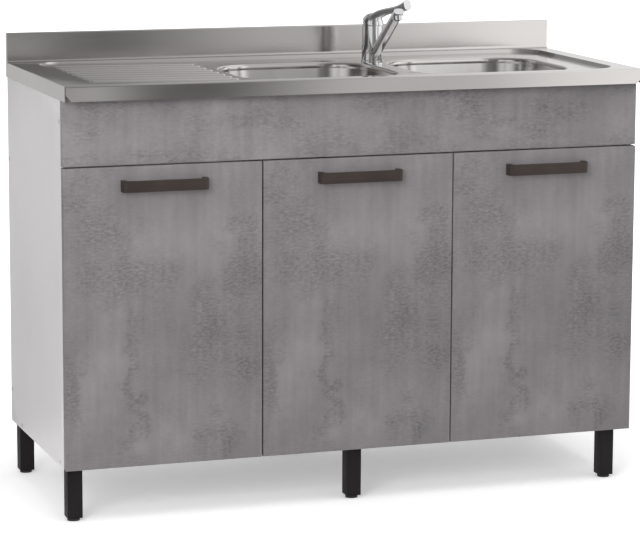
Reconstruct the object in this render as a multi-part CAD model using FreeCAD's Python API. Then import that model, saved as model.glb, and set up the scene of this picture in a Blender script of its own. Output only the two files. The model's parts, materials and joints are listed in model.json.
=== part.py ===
import FreeCAD, Part
import math
import os

# Free-standing kitchen sink unit, 1200 x 500 mm: a pressed stainless sink top with two bowls
# and a drainer on a three-door cabinet that stands on six square legs.
# X runs to the right, Y to the back, Z up. The origin is on the floor, under the middle of the top.

V = FreeCAD.Vector
X_DIR = V(1, 0, 0)
Y_DIR = V(0, 1, 0)
Z_DIR = V(0, 0, 1)
os.makedirs("parts", exist_ok=True)

# ---- overall sizes -------------------------------------------------------------------------
TOP_WIDTH = 1200.0
TOP_DEPTH = 500.0
FOOT_HEIGHT = 6.0
LEG_HEIGHT = 100.0
CARCASS_HEIGHT = 749.0
SHEET = 1.0

# ---- pressed sink top ----------------------------------------------------------------------
APRON_HEIGHT = 30.0
UPSTAND_HEIGHT = 60.0
UPSTAND_THICK = 14.0
UPSTAND_HEM = 10.0
EDGE_BEND = 3.0
UPSTAND_BEND = 2.0
COVE_BEND = 6.0
RECESS_DEPTH = 7.0
RECESS_WALL_RUN = 6.0
RECESS_CORNER = 55.0
RIM_LEFT = 52.0
RIM_RIGHT = 40.0
RIM_FRONT = 25.0
RIM_REAR = 4.0
DRAINER_START_DEPTH = 2.5
RIB_COUNT = 8
RIB_PITCH = 44.0
RIB_LENGTH = 288.0
RIB_RADIUS = 12.0
RIB_RISE = 2.5
RIB_START_MARGIN = 28.0
RIB_FRONT_MARGIN = 75.0

# ---- bowls ---------------------------------------------------------------------------------
BOWL_WIDTH = 324.0
BOWL_LENGTH = 310.0
BOWL_DEPTH = 150.0
BOWL_CORNER = 90.0
BOWL_TAPER = 18.0
BOWL_FLOOR_BEND = 28.0
BOWL_LIP_BEND = 8.0
BOWL_LIP_DROP = 12.0
BOWL_DIVIDER = 46.0
BOWL_RIGHT_MARGIN = 110.0
BOWL_REAR_MARGIN = 120.0
WASTE_SEAT_RADIUS = 58.0
WASTE_SEAT_DEPTH = 2.0
WASTE_HOLE_RADIUS = 45.0
SEAM_GAP = 1.2
SEAM_NOTCH_WIDTH = 13.0
SEAM_NOTCH_HEIGHT = 14.0

# ---- cabinet -------------------------------------------------------------------------------
BOARD = 18.0
APRON_PLAY = 1.0
PANEL_TOP_CHAMFER = 1.5
DOOR_SETBACK = 25.0
DOOR_BUFFER = 2.0
DOOR_GAP = 3.0
DOOR_HEIGHT = 590.0
REAR_SETBACK = 2.0
FASCIA_TOP_CLEAR = 3.0
FRONT_RAIL_HEIGHT = 80.0
FRONT_RAIL_TOP = 824.0
REAR_RAIL_HEIGHT = 100.0
REAR_RAIL_UPPER_BOTTOM = 608.0
PARTITION_NOTCH_CLEAR = 8.0
SHELF_BOTTOM = 395.0
SHELF_SETBACK = 40.0
SHELF_PLAY = 1.0
SHELF_PIN_RADIUS = 2.5
SHELF_PIN_LENGTH = 16.0
SHELF_PIN_INSET = 50.0

# ---- legs ----------------------------------------------------------------------------------
LEG_SIDE = 30.0
LEG_WALL = 1.5
LEG_PLATE = 60.0
LEG_PLATE_THICK = 3.0
LEG_INSET_LEFT = 7.0
LEG_INSET_RIGHT = 26.0
LEG_INSET_REAR = 14.0
INSERT_HEIGHT = 15.0
FOOT_RADIUS = 12.5
FOOT_PLAY = 0.3
FOOT_STEM_RADIUS = 4.0
FOOT_STEM_LENGTH = 38.0
RUNNING_PLAY = 0.05

# ---- handles -------------------------------------------------------------------------------
HANDLE_LENGTH = 172.0
HANDLE_HEIGHT = 22.0
HANDLE_REACH = 22.0
HANDLE_BAR = 5.0
HANDLE_POST = 10.0
HANDLE_BEND = 9.0
HANDLE_DROP = 26.0

# ---- concealed hinges ----------------------------------------------------------------------
HINGE_END_DISTANCE = 90.0
CUP_RADIUS = 17.5
CUP_DEPTH = 12.0
CUP_EDGE = 4.0
CUP_WALL = 1.0
CUP_FLANGE_HALF = 29.0
CUP_DOWEL_RADIUS = 4.0
CUP_DOWEL_PITCH = 45.0
CUP_DOWEL_OFFSET = 9.5
CAM_START = 17.0
CAM_LENGTH = 5.0
CAM_HALF_WIDTH = 4.0
CAM_PLAY = 0.3
DOOR_PIVOT = (6.0, 15.0)
ARM_PIN = (32.0, 8.0)
LINK_RADIUS = 12.0
DOOR_OPEN_ANGLE = 95.0
ARM_HALF_WIDTH = 6.8
ARM_SLOT_HALF = 4.8
ARM_HALF_THICK = 2.5
LINK_HALF_WIDTH = 4.5
LINK_HALF_THICK = 1.2
ARM_PIN_RADIUS = 1.5
PLATE_THICK = 3.0

# ---- wastes and trap -----------------------------------------------------------------------
STRAINER_RADIUS = 57.0
STRAINER_CUP_RADIUS = 40.0
STRAINER_CUP_DEPTH = 38.0
STRAINER_WALL = 1.5
GASKET_THICK = 3.0
WASTE_BODY_WALL = 3.0
PIPE_RADIUS = 20.0
PIPE_WALL = 2.0
PIPE_LEVEL = 572.0
PIPE_BEND = 32.0
TRAP_BEND = 35.0
TRAP_TOP = 545.0
TRAP_LOW = 490.0
TRAP_OUTLET_LEVEL = 520.0
TEE_LENGTH = 76.0
TEE_WALL = 3.0
NUT_WALL = 6.0
NUT_ENGAGEMENT = 14.0
NUT_SKIRT = 10.0
STRAINER_HOLES = 6
STRAINER_HOLE_RADIUS = 6.0
STRAINER_HOLE_CIRCLE = 0.55
BASKET_FOOT_RADIUS = 11.0
BASKET_FOOT_HEIGHT = 4.0
BASKET_STEM_RADIUS = 3.5
BASKET_KNOB_RADIUS = 9.0
BASKET_SKIN = 1.6
BASKET_HOLES = 10
BASKET_HOLE_RADIUS = 2.2
BASKET_HOLE_CIRCLE = 19.0
FUNNEL_ROOM = 6.0
FUNNEL_CONE = 16.0
FUNNEL_FLANGE = 4.0
SPIGOT_LENGTH = 28.0
CLIP_ARM = 15.0
CLIP_SHEET = 2.0
CLIP_DROP = 26.0
CLIP_WIDTH = 22.0
CLIP_PLACES_Y = (-110.0, 130.0)

# ---- mixer tap -----------------------------------------------------------------------------
TAP_FROM_BACK = 154.0
TAP_HOLE_RADIUS = 17.5
TAP_SPOUT_TURN = 4.0
TAP_LEVER_TURN = 20.0
TAP_BASE_RADIUS = 23.0
TAP_BODY_RADIUS = 21.0
TAP_CORE_RADIUS = 17.0
TAP_BASE_HEIGHT = 5.5
TAP_COLLAR_TOP = 37.0
TAP_SHOULDER = 77.0
TAP_PIVOT_HEIGHT = 80.0
TAP_PLAY = 0.3
TAP_SHANK_RADIUS = 16.0
TAP_SHANK_LENGTH = 50.0
INLET_RADIUS = 5.0
INLET_DEPTH = 12.0
SPOUT_REACH = 132.0
SPOUT_RISE = 116.0
SPOUT_ROOT_HEIGHT = 18.0
OUTLET_SETBACK = 9.0
OUTLET_RADIUS = 10.5
AERATOR_RADIUS = 9.0
AERATOR_LENGTH = 6.5
AERATOR_WALL = 2.0
OUTLET_BOSS = 10.5
OUTLET_SEAT = 6.0
AERATOR_PLAY = 0.1
LEVER_REACH = 111.0
LEVER_RISE = 47.0

# ---- derived levels and planes -------------------------------------------------------------
HALF_WIDTH = TOP_WIDTH / 2
HALF_DEPTH = TOP_DEPTH / 2
CARCASS_Z = FOOT_HEIGHT + LEG_HEIGHT
RIM_UNDER_Z = CARCASS_Z + CARCASS_HEIGHT
DECK_Z = RIM_UNDER_Z + SHEET
RECESS_Z = DECK_Z - RECESS_DEPTH
LIP_Z = RECESS_Z - BOWL_LIP_DROP
BOWL_FLOOR_Z = RECESS_Z - BOWL_DEPTH
UPSTAND_FRONT_Y = HALF_DEPTH - UPSTAND_THICK
RECESS_X0 = -HALF_WIDTH + RIM_LEFT
RECESS_X1 = HALF_WIDTH - RIM_RIGHT
RECESS_Y0 = -HALF_DEPTH + RIM_FRONT
RECESS_Y1 = UPSTAND_FRONT_Y - COVE_BEND - RIM_REAR

BOWL_RIGHT_X1 = HALF_WIDTH - BOWL_RIGHT_MARGIN
BOWL_RIGHT_X0 = BOWL_RIGHT_X1 - BOWL_WIDTH
BOWL_LEFT_X1 = BOWL_RIGHT_X0 - BOWL_DIVIDER
BOWL_LEFT_X0 = BOWL_LEFT_X1 - BOWL_WIDTH
BOWL_Y1 = HALF_DEPTH - BOWL_REAR_MARGIN
BOWL_Y0 = BOWL_Y1 - BOWL_LENGTH
BOWL_SPANS = {"left": (BOWL_LEFT_X0, BOWL_LEFT_X1), "right": (BOWL_RIGHT_X0, BOWL_RIGHT_X1)}
WASTE_Y = (BOWL_Y0 + BOWL_Y1) / 2
WASTE_X = {side: (span[0] + span[1]) / 2 for side, span in BOWL_SPANS.items()}
SEAT_Z = BOWL_FLOOR_Z - WASTE_SEAT_DEPTH

CABINET_HALF = HALF_WIDTH - SHEET - APRON_PLAY
DOOR_FRONT_Y = -HALF_DEPTH + DOOR_SETBACK
DOOR_BACK_Y = DOOR_FRONT_Y + BOARD
CARCASS_FRONT_Y = DOOR_BACK_Y + DOOR_BUFFER
CARCASS_REAR_Y = HALF_DEPTH - REAR_SETBACK
DOOR_TOP_Z = CARCASS_Z + DOOR_HEIGHT
DOOR_PITCH = 2 * CABINET_HALF / 3
DOOR_EDGES = {
    "left": (-CABINET_HALF, -DOOR_PITCH / 2 - DOOR_GAP / 2),
    "middle": (-DOOR_PITCH / 2 + DOOR_GAP / 2, DOOR_PITCH / 2 - DOOR_GAP / 2),
    "right": (DOOR_PITCH / 2 + DOOR_GAP / 2, CABINET_HALF),
}
INNER_X = CABINET_HALF - BOARD
PARTITION_X = -DOOR_PITCH / 2
FLOOR_PANEL_TOP = CARCASS_Z + BOARD
RAIL_REAR_Y = CARCASS_FRONT_Y + BOARD
REAR_RAIL_Y0 = CARCASS_REAR_Y - BOARD
FASCIA_BOTTOM = DOOR_TOP_Z + DOOR_GAP
FASCIA_TOP = RECESS_Z - SHEET - FASCIA_TOP_CLEAR
NOTCH_Z = BOWL_FLOOR_Z - WASTE_SEAT_DEPTH - SHEET - PARTITION_NOTCH_CLEAR

# Each leg by name: the X and Y of the tube's low corner, and which way its top plate reaches.
LEG_LEFT_X = -CABINET_HALF + LEG_INSET_LEFT
LEG_RIGHT_X = CABINET_HALF - LEG_INSET_RIGHT - LEG_SIDE
LEG_FRONT_Y = CARCASS_FRONT_Y
LEG_REAR_Y = CARCASS_REAR_Y - LEG_INSET_REAR - LEG_SIDE
LEG_PLACES = {
    "front_left": (LEG_LEFT_X, LEG_FRONT_Y, 1, 1),
    "front_middle": (-LEG_SIDE / 2, LEG_FRONT_Y, 0, 1),
    "front_right": (LEG_RIGHT_X, LEG_FRONT_Y, -1, 1),
    "rear_left": (LEG_LEFT_X, LEG_REAR_Y, 1, -1),
    "rear_middle": (-LEG_SIDE / 2, LEG_REAR_Y, 0, -1),
    "rear_right": (LEG_RIGHT_X, LEG_REAR_Y, -1, -1),
}

# Each door by name: the hinged edge, which way the door runs from it, and the board's overlay.
HINGE_SIDES = {
    "left": (DOOR_EDGES["left"][0], 1, BOARD),
    "middle": (DOOR_EDGES["middle"][0], 1, (BOARD - DOOR_GAP) / 2),
    "right": (DOOR_EDGES["right"][1], -1, BOARD),
}
HINGE_LEVELS = (CARCASS_Z + HINGE_END_DISTANCE, DOOR_TOP_Z - HINGE_END_DISTANCE)

TAP_X = (BOWL_LEFT_X1 + BOWL_RIGHT_X0) / 2
TAP_Y = HALF_DEPTH - TAP_FROM_BACK


# ---- small helpers -------------------------------------------------------------------------
def box(x0, x1, y0, y1, z0, z1):
    """A block between two corners."""
    return Part.makeBox(x1 - x0, y1 - y0, z1 - z0, V(x0, y0, z0))


def rod(radius, start, end):
    """A cylinder from one point to another."""
    run = end - start
    return Part.makeCylinder(radius, run.Length, start, run)


def ring(inner, outer, x, y, z0, z1):
    """An upright tube."""
    return rod(outer, V(x, y, z0), V(x, y, z1)).cut(rod(inner, V(x, y, z0), V(x, y, z1)))


def polygon_prism(points, run):
    """A flat outline pushed along a vector."""
    wire = Part.makePolygon(points + [points[0]])
    return Part.Face(wire).extrude(run)


def rounded_outline(x0, x1, y0, y1, radius, z):
    """A level rectangle with round corners, always drawn from the same corner."""
    edges = []
    centres = [(x1 - radius, y0 + radius, -90), (x1 - radius, y1 - radius, 0),
               (x0 + radius, y1 - radius, 90), (x0 + radius, y0 + radius, 180)]
    arcs = []
    for cx, cy, start in centres:
        points = []
        for turn in (0, 45, 90):
            angle = math.radians(start + turn)
            points.append(V(cx + radius * math.cos(angle), cy + radius * math.sin(angle), z))
        arcs.append(points)
    for index, points in enumerate(arcs):
        edges.append(Part.Arc(*points).toShape())
        following = arcs[(index + 1) % 4][0]
        edges.append(Part.LineSegment(points[2], following).toShape())
    return Part.Wire(edges)


def drafted_block(outline, levels):
    """A block whose outline changes evenly between two levels. outline(z) gives the wire."""
    return Part.makeLoft([outline(z) for z in levels], True, True)


def turned(points, centre):
    """A solid of revolution about the upright line through centre.
    points are (radius, height) pairs. A triple ("arc", middle, end) bends to end."""
    edges = []
    last = None
    first = None
    for point in points:
        if point[0] == "arc":
            middle = centre + V(point[1][0], 0, point[1][1])
            here = centre + V(point[2][0], 0, point[2][1])
            edges.append(Part.Arc(last, middle, here).toShape())
        else:
            here = centre + V(point[0], 0, point[1])
            if last is not None:
                edges.append(Part.LineSegment(last, here).toShape())
        if first is None:
            first = here
        last = here
    edges.append(Part.LineSegment(last, first).toShape())
    return Part.Face(Part.Wire(edges)).revolve(centre, Z_DIR, 360)


def tube_along(points, bend, radius, wall):
    """A hollow pipe along straight runs joined by tangent arcs."""
    edges = []
    start = points[0]
    for before, corner, after in zip(points, points[1:], points[2:]):
        to_back = (before - corner).normalize()
        to_front = (after - corner).normalize()
        half = math.acos(to_back.dot(to_front)) / 2
        reach = bend / math.tan(half)
        middle_way = (to_back + to_front).normalize()
        entry = corner + to_back * reach
        leave = corner + to_front * reach
        middle = corner + middle_way * (bend / math.sin(half) - bend)
        edges.append(Part.LineSegment(start, entry).toShape())
        edges.append(Part.Arc(entry, middle, leave).toShape())
        start = leave
    edges.append(Part.LineSegment(start, points[-1]).toShape())
    path = Part.Wire(edges)
    along = points[1] - points[0]
    solids = []
    for r in (radius, radius - wall):
        section = Part.Wire(Part.makeCircle(r, points[0], along))
        solids.append(path.makePipeShell([section], True, False))
    return solids


def save(node, shape):
    """Write one node, after checking that its solids are closed and sound."""
    pieces = shape.Solids
    if not pieces or not shape.isValid():
        raise ValueError(node + " is not a sound solid")
    kept = pieces[0] if len(pieces) == 1 else Part.makeCompound(pieces)
    kept.exportStep("parts/" + node + ".step")
    print(node, len(pieces), "solid(s)", round(sum(p.Volume for p in pieces) / 1000.0, 2), "cm3")


# ---- pressed sink top ----------------------------------------------------------------------
def drainer_floor(x):
    """Level of the pressed floor: it falls from the left rim towards the bowls."""
    end = BOWL_LEFT_X0 - 2 * BOWL_LIP_BEND
    share = min(1.0, max(0.0, (x - RECESS_X0) / (end - RECESS_X0)))
    return DECK_Z - DRAINER_START_DEPTH - (RECESS_DEPTH - DRAINER_START_DEPTH) * share


def top_section(inset):
    """The folded section of the top, front apron to upstand, drawn inset from its outer skin."""
    front = -HALF_DEPTH + inset
    deck = DECK_Z - inset
    upstand = UPSTAND_FRONT_Y + inset
    crown = DECK_Z + UPSTAND_HEIGHT - inset
    edge = EDGE_BEND - inset
    cove = COVE_BEND + inset
    fold = UPSTAND_BEND - inset
    bottom = DECK_Z - APRON_HEIGHT - 4 * inset
    rear = HALF_DEPTH + inset
    x0 = -HALF_WIDTH + inset
    diagonal = math.sqrt(0.5)

    def at(y, z):
        return V(x0, y, z)

    edges = [
        Part.LineSegment(at(front, bottom), at(front, deck - edge)).toShape(),
        Part.Arc(at(front, deck - edge),
                 at(front + edge * (1 - diagonal), deck - edge * (1 - diagonal)),
                 at(front + edge, deck)).toShape(),
        Part.LineSegment(at(front + edge, deck), at(upstand - cove, deck)).toShape(),
        Part.Arc(at(upstand - cove, deck),
                 at(upstand - cove * (1 - diagonal), deck + cove * (1 - diagonal)),
                 at(upstand, deck + cove)).toShape(),
        Part.LineSegment(at(upstand, deck + cove), at(upstand, crown - fold)).toShape(),
        Part.Arc(at(upstand, crown - fold),
                 at(upstand + fold * (1 - diagonal), crown - fold * (1 - diagonal)),
                 at(upstand + fold, crown)).toShape(),
        Part.LineSegment(at(upstand + fold, crown), at(rear, crown)).toShape(),
        Part.LineSegment(at(rear, crown), at(rear, bottom)).toShape(),
        Part.LineSegment(at(rear, bottom), at(front, bottom)).toShape(),
    ]
    return Part.Face(Part.Wire(edges)).extrude(V(TOP_WIDTH - 2 * inset, 0, 0))


def side_bend(inset):
    """What the rounding of the two side edges takes off the top's block."""
    bend = EDGE_BEND - inset
    deck = DECK_Z - inset
    y0 = -HALF_DEPTH - inset
    y1 = UPSTAND_FRONT_Y + inset
    pieces = []
    for sign in (-1, 1):
        outer = sign * (HALF_WIDTH - inset)
        axis = outer - sign * bend
        strip = box(min(outer, axis), max(outer, axis), y0, y1, deck - bend, deck)
        pieces.append(strip.cut(rod(bend, V(axis, y0, deck - bend), V(axis, y1, deck - bend))))
    return Part.makeCompound(pieces)


def recess_block(grow):
    """The pressed recess: sloping walls with round corners and a floor that falls to the bowls."""
    slope = RECESS_WALL_RUN / RECESS_DEPTH

    def outline(z):
        out = grow + (z - DECK_Z) * slope
        return rounded_outline(RECESS_X0 - out, RECESS_X1 + out, RECESS_Y0 - out, RECESS_Y1 + out,
                               RECESS_CORNER + out, z)

    walls = drafted_block(outline, (DECK_Z + 2.0, RECESS_Z - 2 * SHEET))
    left = RECESS_X0 - 2 * RECESS_DEPTH
    right = RECESS_X1 + 2 * RECESS_DEPTH
    knee = BOWL_LEFT_X0 - 2 * BOWL_LIP_BEND
    roof = DECK_Z + RECESS_DEPTH
    y0 = -HALF_DEPTH
    section = [V(left, y0, roof), V(left, y0, drainer_floor(RECESS_X0) - grow),
               V(RECESS_X0, y0, drainer_floor(RECESS_X0) - grow), V(knee, y0, RECESS_Z - grow),
               V(right, y0, RECESS_Z - grow), V(right, y0, roof)]
    return walls.common(polygon_prism(section, V(0, TOP_DEPTH, 0)))


def bowl_outline(side, grow, z):
    """The outline of a bowl's opening."""
    x0, x1 = BOWL_SPANS[side]
    return rounded_outline(x0 - grow, x1 + grow, BOWL_Y0 - grow, BOWL_Y1 + grow,
                           BOWL_CORNER + grow, z)


def bowl_prism(side, grow, z0, z1):
    """A straight plug through a bowl's opening."""
    return Part.Face(bowl_outline(side, grow, z0)).extrude(V(0, 0, z1 - z0))


def rounded_mouth(solid, grow, level, bend):
    """Round the edge that each bowl opening makes with a level face."""
    chosen = []
    for edge in solid.Edges:
        if any(abs(vertex.Point.z - level) > 0.01 for vertex in edge.Vertexes):
            continue
        middle = edge.valueAt((edge.FirstParameter + edge.LastParameter) / 2)
        for side in BOWL_SPANS:
            if bowl_outline(side, grow, level).distToShape(Part.Vertex(middle))[0] < 0.01:
                chosen.append(edge)
    return solid.makeFillet(bend, chosen)


def drainer_ribs(shrink):
    """The raised flutes of the drainer, round at both ends."""
    radius = RIB_RADIUS - shrink
    x0 = RECESS_X0 + RIB_START_MARGIN
    x1 = x0 + RIB_LENGTH
    ribs = []
    for index in range(RIB_COUNT):
        y = RECESS_Y0 + RIB_FRONT_MARGIN + index * RIB_PITCH
        start = V(x0, y, drainer_floor(x0) + RIB_RISE - RIB_RADIUS)
        end = V(x1, y, drainer_floor(x1) + RIB_RISE - RIB_RADIUS)
        capsule = rod(radius, start, end)
        capsule = capsule.fuse([Part.makeSphere(radius, start), Part.makeSphere(radius, end)])
        ribs.append(capsule)
    return ribs


def corner_seams():
    """The open seam where the front fold meets each side fold, and its cut-off lower corner."""
    bottom = DECK_Z - APRON_HEIGHT - SHEET
    top = DECK_Z - EDGE_BEND
    outside = -HALF_DEPTH - SHEET
    through = V(0, 2 * SHEET, 0)
    cuts = []
    for sign in (-1, 1):
        edge = sign * (HALF_WIDTH - SHEET)
        slit = edge - sign * SEAM_GAP
        notch = edge - sign * SEAM_NOTCH_WIDTH
        cuts.append(polygon_prism([V(edge, outside, bottom), V(notch, outside, bottom),
                                   V(slit, outside, bottom + SEAM_NOTCH_HEIGHT),
                                   V(slit, outside, top), V(edge, outside, top)], through))
    return cuts


def sink_deck():
    """One sheet: aprons, rim, recess, drainer, bowl mouths, tap hole and upstand."""
    skin = top_section(0.0).cut(side_bend(0.0)).cut(recess_block(0.0))
    hollow = top_section(SHEET).cut(side_bend(SHEET)).cut(recess_block(SHEET))
    for side in BOWL_SPANS:
        skin = skin.cut(bowl_prism(side, 0.0, DECK_Z - 3 * APRON_HEIGHT, DECK_Z + SHEET))
        hollow = hollow.cut(bowl_prism(side, SHEET, LIP_Z, DECK_Z + SHEET))
    skin = rounded_mouth(skin, 0.0, RECESS_Z, BOWL_LIP_BEND)
    hollow = rounded_mouth(hollow, SHEET, RECESS_Z - SHEET, BOWL_LIP_BEND - SHEET)
    skin = skin.fuse(drainer_ribs(0.0))
    hollow = hollow.fuse(drainer_ribs(SHEET))
    sheet = skin.cut(hollow)
    crown = DECK_Z + UPSTAND_HEIGHT
    hem = box(-HALF_WIDTH, HALF_WIDTH, HALF_DEPTH - SHEET, HALF_DEPTH, crown - UPSTAND_HEM, crown)
    hole = rod(TAP_HOLE_RADIUS, V(TAP_X, TAP_Y, RECESS_Z - 5), V(TAP_X, TAP_Y, RECESS_Z + 5))
    return sheet.fuse(hem).cut([hole] + corner_seams())


# ---- bowls and their wastes ----------------------------------------------------------------
def bowl_volume(side, grow, top, bottom):
    """The filled shape of a bowl, tapered, with a rounded floor edge."""
    rate = BOWL_TAPER / (LIP_Z - BOWL_FLOOR_Z)

    def outline(z):
        return bowl_outline(side, grow - (LIP_Z - z) * rate, z)

    block = drafted_block(outline, (top, bottom))
    floor_edges = [edge for edge in block.Edges
                   if all(abs(vertex.Point.z - bottom) < 0.01 for vertex in edge.Vertexes)]
    return block.makeFillet(BOWL_FLOOR_BEND + grow, floor_edges)


def bowl(side):
    """A deep-drawn bowl that hangs from the lip of the deck, with a pressed waste seat."""
    x = WASTE_X[side]
    outside = bowl_volume(side, SHEET, LIP_Z, BOWL_FLOOR_Z - SHEET)
    inside = bowl_volume(side, 0.0, LIP_Z + SHEET, BOWL_FLOOR_Z)
    seat_top = BOWL_FLOOR_Z + SHEET
    outside = outside.fuse(rod(WASTE_SEAT_RADIUS + SHEET, V(x, WASTE_Y, SEAT_Z - SHEET),
                               V(x, WASTE_Y, seat_top)))
    inside = inside.fuse(rod(WASTE_SEAT_RADIUS, V(x, WASTE_Y, SEAT_Z), V(x, WASTE_Y, seat_top)))
    hole = rod(WASTE_HOLE_RADIUS, V(x, WASTE_Y, SEAT_Z - 5), V(x, WASTE_Y, seat_top))
    return outside.cut(inside).cut(hole)


def strainer_flange(side):
    """The steel dish of the waste: a flat rim on the seat and a cup with drain holes."""
    centre = V(WASTE_X[side], WASTE_Y, SEAT_Z)
    cup = STRAINER_CUP_RADIUS
    wall = STRAINER_WALL
    depth = STRAINER_CUP_DEPTH
    body = turned([(0, -depth), (cup, -depth), (cup, 0), (STRAINER_RADIUS, 0),
                   (STRAINER_RADIUS - wall, wall), (cup - wall, wall),
                   (cup - wall, wall - depth), (0, wall - depth)], centre)
    circle = cup * STRAINER_HOLE_CIRCLE
    for index in range(STRAINER_HOLES):
        angle = 2 * math.pi * index / STRAINER_HOLES
        at = centre + V(circle * math.cos(angle), circle * math.sin(angle), -depth - 1)
        body = body.cut(rod(STRAINER_HOLE_RADIUS, at, at + V(0, 0, wall + 2)))
    return body


def basket_plug(side):
    """The lift-out basket that also closes the waste: sieve, stem and knob."""
    centre = V(WASTE_X[side], WASTE_Y, SEAT_Z)
    floor = STRAINER_WALL - STRAINER_CUP_DEPTH + FOOT_PLAY
    rim = STRAINER_CUP_RADIUS - STRAINER_WALL - 1.0
    foot = BASKET_FOOT_RADIUS
    stem = BASKET_STEM_RADIUS
    knob = BASKET_KNOB_RADIUS
    sieve = floor + BASKET_FOOT_HEIGHT
    body = turned([(0, floor), (foot, floor), (foot, sieve), (rim - 8, sieve + 2), (rim, -5),
                   (rim, -3.5), (rim - BASKET_SKIN, -3.5), (rim - 9.4, sieve + 3.5),
                   (stem, sieve + 3.5), (stem, -9), (knob, -6.5), (knob, -2), (knob - 1.5, -0.5),
                   (0, -0.5)], centre)
    for index in range(BASKET_HOLES):
        angle = 2 * math.pi * index / BASKET_HOLES
        at = centre + V(BASKET_HOLE_CIRCLE * math.cos(angle), BASKET_HOLE_CIRCLE * math.sin(angle),
                        floor + 2)
        body = body.cut(rod(BASKET_HOLE_RADIUS, at, at + V(0, 0, 9)))
    return body


def waste_gaskets():
    """The rubber rings between the bowls and the waste bodies."""
    top = SEAT_Z - SHEET
    rings = [ring(WASTE_HOLE_RADIUS, WASTE_SEAT_RADIUS, WASTE_X[side], WASTE_Y,
                  top - GASKET_THICK, top) for side in BOWL_SPANS]
    return Part.makeCompound(rings)


def waste_body(side):
    """The plastic funnel under a bowl, down to its spigot."""
    centre = V(WASTE_X[side], WASTE_Y, 0)
    top = SEAT_Z - SHEET - GASKET_THICK
    inner = STRAINER_CUP_RADIUS + 0.5
    outer = inner + WASTE_BODY_WALL
    low = SEAT_Z - STRAINER_CUP_DEPTH - FUNNEL_ROOM
    cone = low - FUNNEL_CONE
    end = cone - SPIGOT_LENGTH
    flange = top - FUNNEL_FLANGE
    return turned([(outer, flange), (WASTE_SEAT_RADIUS, flange), (WASTE_SEAT_RADIUS, top),
                   (inner, top), (inner, low), (PIPE_RADIUS - WASTE_BODY_WALL, cone),
                   (PIPE_RADIUS - WASTE_BODY_WALL, end), (PIPE_RADIUS, end),
                   (PIPE_RADIUS, cone - 2), (outer, low - 3)], centre)


def waste_spigot_end():
    """Level of the lower end of both waste spigots."""
    return SEAT_Z - STRAINER_CUP_DEPTH - FUNNEL_ROOM - FUNNEL_CONE - SPIGOT_LENGTH


def upright(radius, x, y, z0, z1):
    """A solid upright cylinder."""
    return rod(radius, V(x, y, z0), V(x, y, z1))


def waste_manifold():
    """The pipe that joins both wastes, with its nuts and the branch down to the trap."""
    end = waste_spigot_end()
    left = WASTE_X["left"]
    right = WASTE_X["right"]
    route = [V(left, WASTE_Y, end), V(left, WASTE_Y, PIPE_LEVEL), V(right, WASTE_Y, PIPE_LEVEL),
             V(right, WASTE_Y, end)]
    outer, inner = tube_along(route, PIPE_BEND, PIPE_RADIUS, PIPE_WALL)
    branch_end = TRAP_TOP - NUT_ENGAGEMENT
    sleeve_half = V(TEE_LENGTH / 2, 0, 0)
    tee = V(TAP_X, WASTE_Y, PIPE_LEVEL)
    sleeve = rod(PIPE_RADIUS + TEE_WALL, tee - sleeve_half, tee + sleeve_half)
    branch = upright(PIPE_RADIUS, TAP_X, WASTE_Y, branch_end, PIPE_LEVEL)
    bore = upright(PIPE_RADIUS - TEE_WALL, TAP_X, WASTE_Y, branch_end - 1, PIPE_LEVEL)
    nuts = [upright(PIPE_RADIUS + NUT_WALL, x, WASTE_Y, end - NUT_SKIRT, end + NUT_ENGAGEMENT)
            for x in (left, right)]
    sockets = [upright(PIPE_RADIUS, x, WASTE_Y, end, end + NUT_ENGAGEMENT + 1)
               for x in (left, right)]
    return outer.fuse([sleeve, branch] + nuts).cut(inner.fuse([bore] + sockets))


def trap():
    """The trap: down, round the water seal, and out to the back wall."""
    x = TAP_X
    start = TRAP_TOP - NUT_ENGAGEMENT
    back = WASTE_Y + 2 * TRAP_BEND
    route = [V(x, WASTE_Y, start), V(x, WASTE_Y, TRAP_LOW - TRAP_BEND),
             V(x, back, TRAP_LOW - TRAP_BEND), V(x, back, TRAP_OUTLET_LEVEL),
             V(x, CARCASS_REAR_Y, TRAP_OUTLET_LEVEL)]
    outer, inner = tube_along(route, TRAP_BEND - 0.5, PIPE_RADIUS, PIPE_WALL)
    nut = upright(PIPE_RADIUS + NUT_WALL, x, WASTE_Y, start - NUT_SKIRT, TRAP_TOP)
    socket = upright(PIPE_RADIUS, x, WASTE_Y, start, TRAP_TOP + 1)
    return outer.fuse(nut).cut(inner.fuse(socket))


def sink_clips():
    """Four angle clips that hold the rim down to the side panels."""
    clips = []
    for sign in (-1, 1):
        face = sign * INNER_X
        reach = face - sign * CLIP_ARM
        flat = face - sign * CLIP_SHEET
        for y in CLIP_PLACES_Y:
            arm = box(min(face, reach), max(face, reach), y, y + CLIP_WIDTH,
                      RIM_UNDER_Z - CLIP_SHEET, RIM_UNDER_Z)
            leaf = box(min(face, flat), max(face, flat), y, y + CLIP_WIDTH,
                       RIM_UNDER_Z - CLIP_DROP, RIM_UNDER_Z)
            clips.append(arm.fuse(leaf))
    return Part.makeCompound(clips)


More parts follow.
